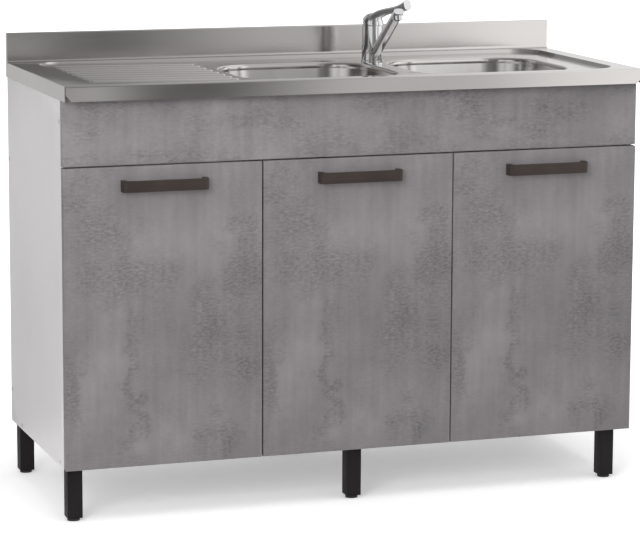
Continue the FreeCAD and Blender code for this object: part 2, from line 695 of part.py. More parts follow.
# ---- mixer tap -----------------------------------------------------------------------------
TAP_FOOT = V(TAP_X, TAP_Y, RECESS_Z)
DOME_INNER = TAP_BODY_RADIUS
DOME_OUTER = TAP_BODY_RADIUS + 2.0
CHAMBER_RADIUS = 15.0
CHAMBER_DEPTH = 8.0
BALL_SEAT_PLAY = 0.6
BALL_SEAT_TOP = 10.0
BASE_CHAMFER = 1.5
STEM_RADIUS = 4.0
STEM_DEPTH = 24.0
CROSSPIN_RADIUS = 2.5
CROSSPIN_HALF = 9.0
INLET_SPREAD = 7.5
ARM_POINTS = 16
ARM_ROUNDNESS = 0.6
SPOUT_MIDDLE = (SPOUT_REACH / 2, (SPOUT_ROOT_HEIGHT + SPOUT_RISE) / 2 - 5.0, 11.2, 7.5)
SPOUT_STATIONS = [(12, SPOUT_ROOT_HEIGHT, 11.5, 8), SPOUT_MIDDLE,
                  (SPOUT_REACH, SPOUT_RISE, 10.5, 7)]
LEVER_STATIONS = [(4, TAP_PIVOT_HEIGHT + 10, 15, 8), (34, TAP_PIVOT_HEIGHT + 26, 13, 7),
                  (72, TAP_PIVOT_HEIGHT + 34, 11, 7),
                  (LEVER_REACH, TAP_PIVOT_HEIGHT + LEVER_RISE, 9.5, 10.5)]
EAR_INNER = 4.5
EAR_THICK = 4.0
EAR_HALF = 5.0
NUT_ACROSS_CORNERS = 47.0
NUT_THICK = 9.0
WASHER_THICK = 3.0
WASHER_RADIUS = 26.0
THREAD_PLAY = 0.2


def sphere_point(radius, level):
    """Where a ball about the lever's pivot has a given level above it."""
    return (math.sqrt(radius * radius - level * level), TAP_PIVOT_HEIGHT + level)


def tap_body():
    """Base, core for the swivelling spout, column, ball seat and threaded shank."""
    ball = TAP_BODY_RADIUS - BALL_SEAT_PLAY
    low = TAP_SHOULDER - TAP_PIVOT_HEIGHT
    high = BALL_SEAT_TOP
    chamber = TAP_PIVOT_HEIGHT - CHAMBER_DEPTH
    well = TAP_PIVOT_HEIGHT - STEM_DEPTH
    body = turned([
        (0, -TAP_SHANK_LENGTH), (TAP_SHANK_RADIUS, -TAP_SHANK_LENGTH), (TAP_SHANK_RADIUS, 0),
        (TAP_BASE_RADIUS, 0), (TAP_BASE_RADIUS, TAP_BASE_HEIGHT - BASE_CHAMFER),
        (TAP_BASE_RADIUS - BASE_CHAMFER, TAP_BASE_HEIGHT), (TAP_CORE_RADIUS, TAP_BASE_HEIGHT),
        (TAP_CORE_RADIUS, TAP_COLLAR_TOP), (TAP_BODY_RADIUS, TAP_COLLAR_TOP),
        (TAP_BODY_RADIUS, TAP_SHOULDER), sphere_point(ball, low),
        ("arc", sphere_point(ball, (low + high) / 2), sphere_point(ball, high)),
        (CHAMBER_RADIUS, TAP_PIVOT_HEIGHT + high), (CHAMBER_RADIUS, chamber),
        (STEM_RADIUS + RUNNING_PLAY, chamber), (STEM_RADIUS + RUNNING_PLAY, well),
        (0, well)], TAP_FOOT)
    for sign in (-1, 1):
        mouth = TAP_FOOT + V(sign * INLET_SPREAD, 0, -TAP_SHANK_LENGTH)
        body = body.cut(rod(INLET_RADIUS, mouth, mouth + V(0, 0, INLET_DEPTH)))
    return body


def oval(centre, across, up):
    """A rounded section at a point: across is its half width, up its half height vector."""
    points = []
    for index in range(ARM_POINTS):
        angle = 2 * math.pi * index / ARM_POINTS
        c = math.cos(angle)
        s = math.sin(angle)
        wide = math.copysign(abs(c) ** ARM_ROUNDNESS, c)
        tall = math.copysign(abs(s) ** ARM_ROUNDNESS, s)
        points.append(centre + across * wide + up * tall)
    curve = Part.BSplineCurve()
    curve.interpolate(points, PeriodicFlag=True)
    return Part.Wire(curve.toShape())


def tap_arm(stations):
    """A smooth arm through stations of (forward, height, half width, half thickness)."""
    sections = []
    for index, (forward, height, wide, thick) in enumerate(stations):
        before = stations[max(index - 1, 0)]
        after = stations[min(index + 1, len(stations) - 1)]
        along = V(0, before[0] - after[0], after[1] - before[1]).normalize()
        up = X_DIR.cross(along) * -1
        sections.append(oval(V(0, -forward, height), X_DIR * wide, up * thick))
    return Part.makeLoft(sections, True, False)


def spout_outlet():
    """The point on the spout's centre line above its outlet, and the way the water leaves."""
    run = SPOUT_REACH / 2
    slope = (SPOUT_RISE - SPOUT_ROOT_HEIGHT) / 2 / run
    centre = V(0, OUTLET_SETBACK - SPOUT_REACH, SPOUT_RISE - OUTLET_SETBACK * slope)
    return centre, V(0, -0.2, -1.0).normalize()


def tap_spout():
    """The collar that swivels on the body, the rising spout and its outlet boss."""
    collar = ring(TAP_CORE_RADIUS + RUNNING_PLAY, TAP_BODY_RADIUS + 1.0, 0, 0,
                  TAP_BASE_HEIGHT + TAP_PLAY, TAP_COLLAR_TOP - TAP_PLAY)
    arm = tap_arm(SPOUT_STATIONS)
    arm = arm.cut(rod(TAP_CORE_RADIUS + 1.5, V(0, 0, -5), V(0, 0, TAP_SHOULDER)))
    arm = arm.cut(rod(TAP_BODY_RADIUS + TAP_PLAY, V(0, 0, TAP_COLLAR_TOP - TAP_PLAY),
                      V(0, 0, TAP_SHOULDER)))
    outlet, way = spout_outlet()
    boss = rod(OUTLET_RADIUS, outlet, outlet + way * OUTLET_BOSS)
    socket = rod(AERATOR_RADIUS + AERATOR_PLAY, outlet + way * OUTLET_SEAT, outlet + way * SPOUT_REACH)
    return place_tap(collar.fuse([arm, boss]).cut(socket), TAP_SPOUT_TURN)


def tap_aerator():
    """The screwed outlet in the spout's end."""
    outlet, way = spout_outlet()
    top = outlet + way * (OUTLET_SEAT + AERATOR_PLAY)
    body = rod(AERATOR_RADIUS, top, top + way * AERATOR_LENGTH)
    mouth = rod(AERATOR_RADIUS - AERATOR_WALL, top + way * AERATOR_WALL, top + way * SPOUT_REACH)
    return place_tap(body.cut(mouth), TAP_SPOUT_TURN)


def place_tap(shape, turn):
    """Turn a tap piece that points forwards and set it on the deck."""
    moved = shape.copy()
    moved.rotate(V(0, 0, 0), Z_DIR, turn)
    moved.translate(TAP_FOOT)
    return moved


def tap_stem():
    """The cartridge stem, with the pin that the lever rocks on."""
    pivot = V(0, 0, TAP_PIVOT_HEIGHT)
    stem = rod(STEM_RADIUS, pivot - V(0, 0, STEM_DEPTH - TAP_PLAY), pivot + V(0, 0, 3))
    pin = rod(CROSSPIN_RADIUS, pivot - X_DIR * CROSSPIN_HALF, pivot + X_DIR * CROSSPIN_HALF)
    return place_tap(stem.fuse(pin), TAP_LEVER_TURN)


def tap_lever():
    """The dome over the cartridge, its two ears on the pin, and the rising lever."""
    pivot = V(0, 0, TAP_PIVOT_HEIGHT)
    dome = Part.makeSphere(DOME_OUTER, pivot).cut(Part.makeSphere(DOME_INNER, pivot))
    front = pivot + V(0, -DOME_OUTER, TAP_SHOULDER - TAP_PIVOT_HEIGHT + 0.5)
    rear = pivot + V(0, DOME_OUTER, 14.0)
    half = DOME_OUTER + 5
    wedge = polygon_prism([front + V(-half, -9, -3.4), front + V(-half, 0, 0), rear + V(-half, 0, 0),
                           rear + V(-half, 9, 3.4), rear + V(-half, 9, -60),
                           front + V(-half, -9, -60)], V(2 * half, 0, 0))
    dome = dome.cut(wedge)
    ears = []
    for sign in (-1, 1):
        x0 = min(sign * EAR_INNER, sign * (EAR_INNER + EAR_THICK))
        ear = box(x0, x0 + EAR_THICK, -EAR_HALF, EAR_HALF, TAP_PIVOT_HEIGHT - EAR_HALF,
                  TAP_PIVOT_HEIGHT + DOME_OUTER)
        ears.append(ear.common(Part.makeSphere(DOME_INNER + 0.8, pivot)))
    arm = tap_arm(LEVER_STATIONS)
    arm = arm.cut(Part.makeSphere(DOME_INNER + 0.4, pivot))
    keep = box(-40, 40, -200, 12, TAP_PIVOT_HEIGHT - 3, TAP_PIVOT_HEIGHT + 100)
    arm = arm.common(keep)
    arm = max(arm.Solids, key=lambda solid: solid.Volume)
    lever = dome.fuse(ears).fuse(arm)
    bore = rod(CROSSPIN_RADIUS + RUNNING_PLAY, pivot - X_DIR * (CROSSPIN_HALF + 1),
               pivot + X_DIR * (CROSSPIN_HALF + 1))
    return place_tap(lever.cut(bore), TAP_LEVER_TURN)


def tap_nut():
    """Washer and nut that clamp the tap from below the deck."""
    top = -SHEET
    bore = TAP_SHANK_RADIUS + THREAD_PLAY
    washer = ring(bore, WASHER_RADIUS, 0, 0, top - WASHER_THICK, top)
    low = top - WASHER_THICK - NUT_THICK
    angles = [math.radians(60 * index) for index in range(6)]
    corners = [V(NUT_ACROSS_CORNERS / 2 * math.cos(angle), NUT_ACROSS_CORNERS / 2 * math.sin(angle),
                 low) for angle in angles]
    nut = polygon_prism(corners, V(0, 0, NUT_THICK))
    nut = nut.cut(rod(bore, V(0, 0, low - 1), V(0, 0, top)))
    return place_tap(washer.fuse(nut), 0.0)


# ---- cabinet -------------------------------------------------------------------------------
PANEL_SCREW_RADIUS = 3.0
PANEL_SCREW_LENGTH = 46.0
PANEL_SCREW_HEAD = 4.5
PANEL_SCREW_HEAD_DEPTH = 3.0
HOLE_PLAY = 0.1
SIDE_SCREW_PLACES = (
    (CARCASS_FRONT_Y + BOARD / 2, FRONT_RAIL_TOP - FRONT_RAIL_HEIGHT / 2),
    (CARCASS_FRONT_Y + 28.0, CARCASS_Z + BOARD / 2),
    (CARCASS_REAR_Y - 96.0, CARCASS_Z + BOARD / 2),
    (CARCASS_REAR_Y - BOARD / 2, REAR_RAIL_UPPER_BOTTOM + REAR_RAIL_HEIGHT / 2),
    (CARCASS_REAR_Y - BOARD / 2, FLOOR_PANEL_TOP + REAR_RAIL_HEIGHT / 2),
)


def carcass_screws():
    """Every carcass screw as (head point, direction)."""
    screws = []
    for y, z in SIDE_SCREW_PLACES:
        screws.append((V(-CABINET_HALF, y, z), X_DIR))
        screws.append((V(CABINET_HALF, y, z), X_DIR * -1))
    for y in (CARCASS_FRONT_Y + 80.0, CARCASS_REAR_Y - 120.0):
        screws.append((V(PARTITION_X, y, CARCASS_Z), Z_DIR))
    for z in (REAR_RAIL_UPPER_BOTTOM + REAR_RAIL_HEIGHT / 2, FLOOR_PANEL_TOP + REAR_RAIL_HEIGHT / 2):
        screws.append((V(PARTITION_X, CARCASS_REAR_Y, z), Y_DIR * -1))
    return screws


def screw_solid(head, way, play):
    """A countersunk carcass screw, or with play the hole that takes it."""
    shaft = rod(PANEL_SCREW_RADIUS + play, head, head + way * (PANEL_SCREW_LENGTH + play))
    cone = Part.makeCone(PANEL_SCREW_HEAD + play, PANEL_SCREW_RADIUS + play,
                         PANEL_SCREW_HEAD_DEPTH, head, way)
    return shaft.fuse(cone)


SCREW_HOLES = [screw_solid(head, way, HOLE_PLAY) for head, way in carcass_screws()]


def drilled(board, holes):
    """Take the screw holes that reach a board out of it."""
    near = [hole for hole in holes if hole.BoundBox.intersect(board.BoundBox)]
    return board.cut(near) if near else board


def shelf_pin_places():
    """(wall face X, direction into the compartment, Y) of the four shelf pins."""
    places = []
    for y in (CARCASS_FRONT_Y + SHELF_SETBACK + SHELF_PIN_INSET,
              REAR_RAIL_Y0 - SHELF_PIN_INSET):
        places.append((-INNER_X, 1, y))
        places.append((PARTITION_X - BOARD / 2, -1, y))
    return places


def shelf_pin(face, way, y, play):
    """A pin that stands half in its board and half under the shelf."""
    half = SHELF_PIN_LENGTH / 2
    z = SHELF_BOTTOM - SHELF_PIN_RADIUS
    return rod(SHELF_PIN_RADIUS + play, V(face - way * (half + play), y, z),
               V(face + way * half, y, z))


PIN_HOLES = [shelf_pin(face, way, y, RUNNING_PLAY) for face, way, y in shelf_pin_places()]
PLATE_SCREW_RADIUS = 2.0
PLATE_SCREW_LENGTH = 13.0
PLATE_SCREW_HEAD = 4.0
PLATE_SCREW_HEAD_HEIGHT = 2.0


def leg_plate_span(place):
    """The X and Y span of a leg's top plate."""
    x, y, x_way, y_way = place
    middle = x + LEG_SIDE / 2
    x0 = {1: x, 0: middle - LEG_PLATE / 2, -1: x + LEG_SIDE - LEG_PLATE}[x_way]
    y0 = y if y_way > 0 else y + LEG_SIDE - LEG_PLATE
    return x0, x0 + LEG_PLATE, y0, y0 + LEG_PLATE


def leg_screw_places(place):
    """Two screws through the part of the plate that reaches under the bottom board."""
    x0, x1, y0, y1 = leg_plate_span(place)
    y = y1 - 12.0 if place[3] > 0 else y0 + 12.0
    inset = 13.0
    return [(x0 + inset + 8.0 * (place[2] > 0), y), (x1 - inset - 8.0 * (place[2] < 0), y)]


def leg_screw(x, y, play):
    """A round-head screw up through a leg's plate into the board."""
    under = CARCASS_Z - LEG_PLATE_THICK
    shaft = rod(PLATE_SCREW_RADIUS + play, V(x, y, under), V(x, y, under + PLATE_SCREW_LENGTH + play))
    head = rod(PLATE_SCREW_HEAD, V(x, y, under - PLATE_SCREW_HEAD_HEIGHT), V(x, y, under))
    return shaft.fuse(head)


LEG_HOLES = [leg_screw(x, y, HOLE_PLAY) for place in LEG_PLACES.values()
             for x, y in leg_screw_places(place)]


def side_panel(sign):
    """A white side board with its holes, chamfered on top to clear the inside of the sheet's fold."""
    outer = sign * CABINET_HALF
    inner = sign * INNER_X
    board = box(min(outer, inner), max(outer, inner), CARCASS_FRONT_Y, CARCASS_REAR_Y,
                CARCASS_Z, RIM_UNDER_Z)
    corner = [V(outer, CARCASS_FRONT_Y, RIM_UNDER_Z),
              V(outer - sign * PANEL_TOP_CHAMFER, CARCASS_FRONT_Y, RIM_UNDER_Z),
              V(outer, CARCASS_FRONT_Y, RIM_UNDER_Z - PANEL_TOP_CHAMFER)]
    board = board.cut(polygon_prism(corner, V(0, CARCASS_REAR_Y - CARCASS_FRONT_Y, 0)))
    return drilled(board, SCREW_HOLES + PIN_HOLES)


def partition_panel():
    """The upright between the compartments, notched under the left bowl."""
    x0 = PARTITION_X - BOARD / 2
    rail_bottom = FRONT_RAIL_TOP - FRONT_RAIL_HEIGHT
    outline = [V(x0, CARCASS_FRONT_Y, FLOOR_PANEL_TOP), V(x0, REAR_RAIL_Y0, FLOOR_PANEL_TOP),
               V(x0, REAR_RAIL_Y0, NOTCH_Z), V(x0, RAIL_REAR_Y, NOTCH_Z),
               V(x0, RAIL_REAR_Y, rail_bottom), V(x0, CARCASS_FRONT_Y, rail_bottom)]
    return drilled(polygon_prism(outline, V(BOARD, 0, 0)), SCREW_HOLES + PIN_HOLES)


def bottom_panel():
    """The floor board between the sides."""
    board = box(-INNER_X, INNER_X, CARCASS_FRONT_Y, CARCASS_REAR_Y, CARCASS_Z, FLOOR_PANEL_TOP)
    return drilled(board, SCREW_HOLES + LEG_HOLES)


def rear_rails():
    """Two rails across the open back."""
    rails = []
    for bottom in (FLOOR_PANEL_TOP, REAR_RAIL_UPPER_BOTTOM):
        rail = box(-INNER_X, INNER_X, REAR_RAIL_Y0, CARCASS_REAR_Y, bottom, bottom + REAR_RAIL_HEIGHT)
        rails.append(drilled(rail, SCREW_HOLES))
    return Part.makeCompound(rails)


FASCIA_SCREW_XS = (-INNER_X + 70.0, PARTITION_X + 60.0, DOOR_PITCH / 2, INNER_X - 70.0)
FASCIA_SCREW_RADIUS = 2.0
FASCIA_SCREW_LENGTH = 30.0


def fascia_screw(x, play):
    """A screw from inside through the front rail into the fascia."""
    z = FRONT_RAIL_TOP - FRONT_RAIL_HEIGHT / 2
    face = V(x, RAIL_REAR_Y, z)
    shaft = rod(FASCIA_SCREW_RADIUS + play, face, face - Y_DIR * (FASCIA_SCREW_LENGTH + play))
    head = rod(PLATE_SCREW_HEAD, face, face + Y_DIR * PLATE_SCREW_HEAD_HEIGHT)
    return shaft.fuse(head)


FASCIA_HOLES = [fascia_screw(x, HOLE_PLAY) for x in FASCIA_SCREW_XS]


def front_rail():
    """The rail behind the fascia."""
    board = box(-INNER_X, INNER_X, CARCASS_FRONT_Y, RAIL_REAR_Y,
                FRONT_RAIL_TOP - FRONT_RAIL_HEIGHT, FRONT_RAIL_TOP)
    return drilled(board, SCREW_HOLES + FASCIA_HOLES)


def fascia_panel():
    """The fixed front board above the doors."""
    board = box(-CABINET_HALF, CABINET_HALF, CARCASS_FRONT_Y - BOARD, CARCASS_FRONT_Y,
                FASCIA_BOTTOM, FASCIA_TOP)
    return drilled(board, FASCIA_HOLES)


def shelf():
    """The loose shelf of the left compartment."""
    return box(-INNER_X + SHELF_PLAY, PARTITION_X - BOARD / 2 - SHELF_PLAY,
               CARCASS_FRONT_Y + SHELF_SETBACK, REAR_RAIL_Y0 - SHELF_PLAY,
               SHELF_BOTTOM, SHELF_BOTTOM + BOARD)


# ---- legs and levelling feet ---------------------------------------------------------------
def leg(place):
    """A square tube welded to its fixing plate."""
    x, y = place[0], place[1]
    under = CARCASS_Z - LEG_PLATE_THICK
    tube = box(x, x + LEG_SIDE, y, y + LEG_SIDE, FOOT_HEIGHT, under)
    tube = tube.cut(box(x + LEG_WALL, x + LEG_SIDE - LEG_WALL, y + LEG_WALL, y + LEG_SIDE - LEG_WALL,
                        FOOT_HEIGHT, under))
    x0, x1, y0, y1 = leg_plate_span(place)
    plate = box(x0, x1, y0, y1, under, CARCASS_Z)
    holes = [leg_screw(hx, hy, HOLE_PLAY) for hx, hy in leg_screw_places(place)]
    return tube.fuse(plate).cut(holes)


def leg_centre(place):
    """The axis of a leg's levelling foot."""
    return place[0] + LEG_SIDE / 2, place[1] + LEG_SIDE / 2


def leg_inserts():
    """The threaded plugs in the tubes' lower ends."""
    plugs = []
    half = LEG_SIDE / 2 - LEG_WALL
    for place in LEG_PLACES.values():
        x, y = leg_centre(place)
        plug = box(x - half, x + half, y - half, y + half, FOOT_HEIGHT, FOOT_HEIGHT + INSERT_HEIGHT)
        bore = rod(FOOT_STEM_RADIUS + RUNNING_PLAY, V(x, y, 0), V(x, y, FOOT_HEIGHT + INSERT_HEIGHT))
        plugs.append(plug.cut(bore))
    return Part.makeCompound(plugs)


def foot(place):
    """A levelling foot: pad and threaded stem."""
    x, y = leg_centre(place)
    pad = FOOT_HEIGHT - FOOT_PLAY
    return turned([(0, 0), (FOOT_RADIUS, 0), (FOOT_RADIUS, pad - 1.5), (FOOT_RADIUS - 1.5, pad),
                   (FOOT_STEM_RADIUS, pad), (FOOT_STEM_RADIUS, FOOT_STEM_LENGTH),
                   (0, FOOT_STEM_LENGTH)], V(x, y, 0))


# ---- doors, handles and hinges -------------------------------------------------------------
def at_hinge(door, u, v, z):
    """A point by its distance u in from the hinged edge and v in front of the carcass."""
    edge, way, _ = HINGE_SIDES[door]
    return V(edge + way * u, CARCASS_FRONT_Y - v, z)


def handle_centre(door):
    """The middle of a door's handle, on the door's face."""
    x0, x1 = DOOR_EDGES[door]
    return V((x0 + x1) / 2, DOOR_FRONT_Y, DOOR_TOP_Z - HANDLE_DROP - HANDLE_HEIGHT / 2)


def handle(door):
    """A flat strap pull whose ends turn back to the door."""
    centre = handle_centre(door)
    half = HANDLE_LENGTH / 2
    bottom = centre.z - HANDLE_HEIGHT / 2

    def strap(out, post):
        reach = HANDLE_REACH - out
        x = half - post
        bend = max(HANDLE_BEND - out, 1.0)
        diagonal = bend * (1 - math.sqrt(0.5))
        y0 = DOOR_FRONT_Y
        y1 = DOOR_FRONT_Y - reach
        cx = centre.x

        def p(px, py):
            return V(cx + px, py, bottom)

        edges = [
            Part.LineSegment(p(x, y0), p(x, y1 + bend)).toShape(),
            Part.Arc(p(x, y1 + bend), p(x - diagonal, y1 + diagonal), p(x - bend, y1)).toShape(),
            Part.LineSegment(p(x - bend, y1), p(bend - x, y1)).toShape(),
            Part.Arc(p(bend - x, y1), p(diagonal - x, y1 + diagonal), p(-x, y1 + bend)).toShape(),
            Part.LineSegment(p(-x, y1 + bend), p(-x, y0)).toShape(),
            Part.LineSegment(p(-x, y0), p(x, y0)).toShape(),
        ]
        return Part.Face(Part.Wire(edges)).extrude(V(0, 0, HANDLE_HEIGHT))

    bar = strap(0.0, 0.0).cut(strap(HANDLE_BAR, HANDLE_POST))
    for head, way in handle_screw_places(door):
        bar = bar.cut(handle_screw(head, way, HOLE_PLAY))
    return bar


HANDLE_SCREW_RADIUS = 2.0
HANDLE_SCREW_LENGTH = 30.0


def handle_screw_places(door):
    """The two screws of a handle, from the back of the door."""
    centre = handle_centre(door)
    reach = HANDLE_LENGTH / 2 - HANDLE_POST / 2
    return [(V(centre.x + sign * reach, DOOR_BACK_Y, centre.z), Y_DIR * -1) for sign in (-1, 1)]


def handle_screw(head, way, play):
    """A handle screw with its round head against the door's back."""
    shaft = rod(HANDLE_SCREW_RADIUS + play, head, head + way * (HANDLE_SCREW_LENGTH + play))
    cap = rod(PLATE_SCREW_HEAD, head - way * 1.6, head)
    return shaft.fuse(cap)


def cup_dowels(door, z, play):
    """The two dowels that hold a hinge cup in the door."""
    u = CUP_EDGE + CUP_RADIUS + CUP_DOWEL_OFFSET
    dowels = []
    for sign in (-1, 1):
        level = z + sign * CUP_DOWEL_PITCH / 2
        dowels.append(rod(CUP_DOWEL_RADIUS + play, at_hinge(door, u, DOOR_BUFFER, level),
                          at_hinge(door, u, DOOR_BUFFER + CUP_DEPTH - 2 + play, level)))
    return dowels


def door(name):
    """A door board with its hinge bores and handle screw holes."""
    x0, x1 = DOOR_EDGES[name]
    board = box(x0, x1, DOOR_FRONT_Y, DOOR_BACK_Y, CARCASS_Z, DOOR_TOP_Z)
    cuts = [handle_screw(head, way, HOLE_PLAY) for head, way in handle_screw_places(name)]
    u = CUP_EDGE + CUP_RADIUS
    for z in HINGE_LEVELS:
        cuts.append(rod(CUP_RADIUS, at_hinge(name, u, 0, z),
                        at_hinge(name, u, DOOR_BUFFER + CUP_DEPTH, z)))
        cuts.extend(cup_dowels(name, z, RUNNING_PLAY))
    return board.cut(cuts)


def link_end():
    """Where the link reaches into the cup with the door closed, in u and v.
    The arm's pin lies on the line that halves the swing of this point about the door's pivot."""
    toward = math.atan2(ARM_PIN[1] - DOOR_PIVOT[1], ARM_PIN[0] - DOOR_PIVOT[0])
    angle = toward - math.radians(DOOR_OPEN_ANGLE) / 2
    return (DOOR_PIVOT[0] + LINK_RADIUS * math.cos(angle),
            DOOR_PIVOT[1] + LINK_RADIUS * math.sin(angle))


def closing_cam(name, z):
    """The block in a cup that the link bears on when the door is shut."""
    end = link_end()
    slope = (ARM_PIN[1] - end[1]) / (ARM_PIN[0] - end[0])
    offset = (LINK_HALF_THICK + CAM_PLAY) * math.hypot(1.0, slope)
    floor = DOOR_BUFFER + CUP_DEPTH - CUP_WALL / 2
    corners = []
    for u in (CAM_START, CAM_START + CAM_LENGTH):
        corners.append(at_hinge(name, u, end[1] + (u - end[0]) * slope + offset, z - CAM_HALF_WIDTH))
    for u in (CAM_START + CAM_LENGTH, CAM_START):
        corners.append(at_hinge(name, u, floor, z - CAM_HALF_WIDTH))
    return polygon_prism(corners, V(0, 0, 2 * CAM_HALF_WIDTH))


def hinge_cups(name):
    """The pressed cups in a door's back, each with its flange, dowels and closing cam."""
    cups = []
    u = CUP_EDGE + CUP_RADIUS
    back = DOOR_BUFFER
    for z in HINGE_LEVELS:
        low = at_hinge(name, CUP_EDGE, back - 1, z - CUP_FLANGE_HALF)
        high = at_hinge(name, CUP_EDGE + 2 * CUP_RADIUS, back, z + CUP_FLANGE_HALF)
        flange = box(min(low.x, high.x), max(low.x, high.x), min(low.y, high.y), max(low.y, high.y),
                     low.z, high.z)
        cup = rod(CUP_RADIUS, at_hinge(name, u, back, z), at_hinge(name, u, back + CUP_DEPTH, z))
        space = rod(CUP_RADIUS - CUP_WALL, at_hinge(name, u, back - 2, z),
                    at_hinge(name, u, back + CUP_DEPTH - CUP_WALL, z))
        shell = flange.fuse([cup] + cup_dowels(name, z, 0.0)).cut(space)
        cups.append(shell.fuse(closing_cam(name, z)))
    return Part.makeCompound(cups)


def strip(name, start, end, half_thick, z0, z1):
    """A flat bar with round ends between two points given in u and v."""
    du = end[0] - start[0]
    dv = end[1] - start[1]
    length = math.hypot(du, dv)
    nu = -dv / length * half_thick
    nv = du / length * half_thick
    corners = [at_hinge(name, start[0] + nu, start[1] + nv, z0),
               at_hinge(name, end[0] + nu, end[1] + nv, z0),
               at_hinge(name, end[0] - nu, end[1] - nv, z0),
               at_hinge(name, start[0] - nu, start[1] - nv, z0)]
    run = V(0, 0, z1 - z0)
    bar = polygon_prism(corners, run)
    rounds = [rod(half_thick, at_hinge(name, p[0], p[1], z0), at_hinge(name, p[0], p[1], z1))
              for p in (start, end)]
    return bar.fuse(rounds)


def hinge_arms():
    """The plates and arms on the boards, each with the pin that its link turns on."""
    arms = []
    knee = (ARM_PIN[0] - 5.0, ARM_PIN[1] - 14.0)
    for name, (_, _, overlay) in HINGE_SIDES.items():
        for z in HINGE_LEVELS:
            a = at_hinge(name, overlay, -72, z - 24)
            b = at_hinge(name, overlay + PLATE_THICK, -22, z + 24)
            plate = box(min(a.x, b.x), max(a.x, b.x), min(a.y, b.y), max(a.y, b.y), a.z, b.z)
            c = at_hinge(name, overlay + PLATE_THICK, -70, z - ARM_HALF_WIDTH)
            d = at_hinge(name, overlay + PLATE_THICK + 8, -24, z + ARM_HALF_WIDTH)
            block = box(min(c.x, d.x), max(c.x, d.x), min(c.y, d.y), max(c.y, d.y), c.z, d.z)
            root = (overlay + PLATE_THICK + 8 - ARM_HALF_THICK, -27.0)
            neck = strip(name, root, knee, ARM_HALF_THICK, z - ARM_HALF_WIDTH, z + ARM_HALF_WIDTH)
            tip = strip(name, knee, ARM_PIN, ARM_HALF_THICK, z - ARM_HALF_WIDTH, z + ARM_HALF_WIDTH)
            slot_end = (ARM_PIN[0] - 3.0, ARM_PIN[1] - 8.4)
            slot = strip(name, slot_end, (ARM_PIN[0] + 0.9, ARM_PIN[1] + 2.5), 5.0,
                         z - ARM_SLOT_HALF, z + ARM_SLOT_HALF)
            pin = rod(ARM_PIN_RADIUS, at_hinge(name, ARM_PIN[0], ARM_PIN[1], z - ARM_HALF_WIDTH),
                      at_hinge(name, ARM_PIN[0], ARM_PIN[1], z + ARM_HALF_WIDTH))
            arms.append(plate.fuse([block, neck, tip]).cut(slot).fuse(pin))
    return Part.makeCompound(arms)


def hinge_links(name):
    """The links from the arms' pins into the cups."""
    links = []
    end = link_end()
    for z in HINGE_LEVELS:
        z0 = z - LINK_HALF_WIDTH
        z1 = z + LINK_HALF_WIDTH
        bar = strip(name, ARM_PIN, end, LINK_HALF_THICK, z0, z1)
        eye = rod(ARM_PIN_RADIUS + 1.5, at_hinge(name, ARM_PIN[0], ARM_PIN[1], z0),
                  at_hinge(name, ARM_PIN[0], ARM_PIN[1], z1))
        knob = rod(1.8, at_hinge(name, end[0], end[1], z0), at_hinge(name, end[0], end[1], z1))
        bore = rod(ARM_PIN_RADIUS + RUNNING_PLAY, at_hinge(name, ARM_PIN[0], ARM_PIN[1], z0 - 1),
                   at_hinge(name, ARM_PIN[0], ARM_PIN[1], z1 + 1))
        links.append(bar.fuse([eye, knob]).cut(bore))
    return Part.makeCompound(links)


# ---- write every node ----------------------------------------------------------------------
save("sink_deck", sink_deck())
for bowl_side in BOWL_SPANS:
    save("bowl_" + bowl_side, bowl(bowl_side))
    save("strainer_flange_" + bowl_side, strainer_flange(bowl_side))
    save("basket_plug_" + bowl_side, basket_plug(bowl_side))
    save("waste_body_" + bowl_side, waste_body(bowl_side))
save("waste_gaskets", waste_gaskets())
save("waste_manifold", waste_manifold())
save("trap", trap())
save("sink_clips", sink_clips())

save("tap_body", tap_body())
save("tap_spout", tap_spout())
save("tap_aerator", tap_aerator())
save("tap_stem", tap_stem())
save("tap_lever", tap_lever())
save("tap_nut", tap_nut())

save("side_panel_left", side_panel(-1))
save("side_panel_right", side_panel(1))
save("partition_panel", partition_panel())
save("bottom_panel", bottom_panel())
save("front_rail", front_rail())
save("rear_rails", rear_rails())
save("fascia_panel", fascia_panel())
save("shelf", shelf())
save("shelf_pins", Part.makeCompound([shelf_pin(*place, 0.0) for place in shelf_pin_places()]))
save("panel_screws", Part.makeCompound([screw_solid(h, w, 0.0) for h, w in carcass_screws()]))
save("fascia_screws", Part.makeCompound([fascia_screw(x, 0.0) for x in FASCIA_SCREW_XS]))

for leg_name, leg_place in LEG_PLACES.items():
    save("leg_" + leg_name, leg(leg_place))
    save("foot_" + leg_name, foot(leg_place))
save("leg_inserts", leg_inserts())
save("leg_screws", Part.makeCompound([leg_screw(x, y, 0.0) for place in LEG_PLACES.values()
                                      for x, y in leg_screw_places(place)]))

for door_name in DOOR_EDGES:
    save("door_" + door_name, door(door_name))
    save("handle_" + door_name, handle(door_name))
    save("handle_screws_" + door_name,
         Part.makeCompound([handle_screw(h, w, 0.0) for h, w in handle_screw_places(door_name)]))
    save("hinge_cups_" + door_name, hinge_cups(door_name))
    save("hinge_links_" + door_name, hinge_links(door_name))
save("hinge_arms", hinge_arms())
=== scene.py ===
# %% [markdown]
# # A kitchen sink unit
#
# The real object is a kitchen base unit: a pressed steel sink top on a white carcass, with three
# concrete-look doors and six square black legs. Its frame, with every board, pipe and hinge, comes
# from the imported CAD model, so everything here is in metres and already in its place. This lesson
# gives that frame its finishes, softens the edges that a factory softens, and lights it in a plain
# pale studio. We load the frame first, because each later step asks it where things are.

# %% Load the frame
import json
import math

import bmesh
import bpy
from mathutils import Matrix, Vector


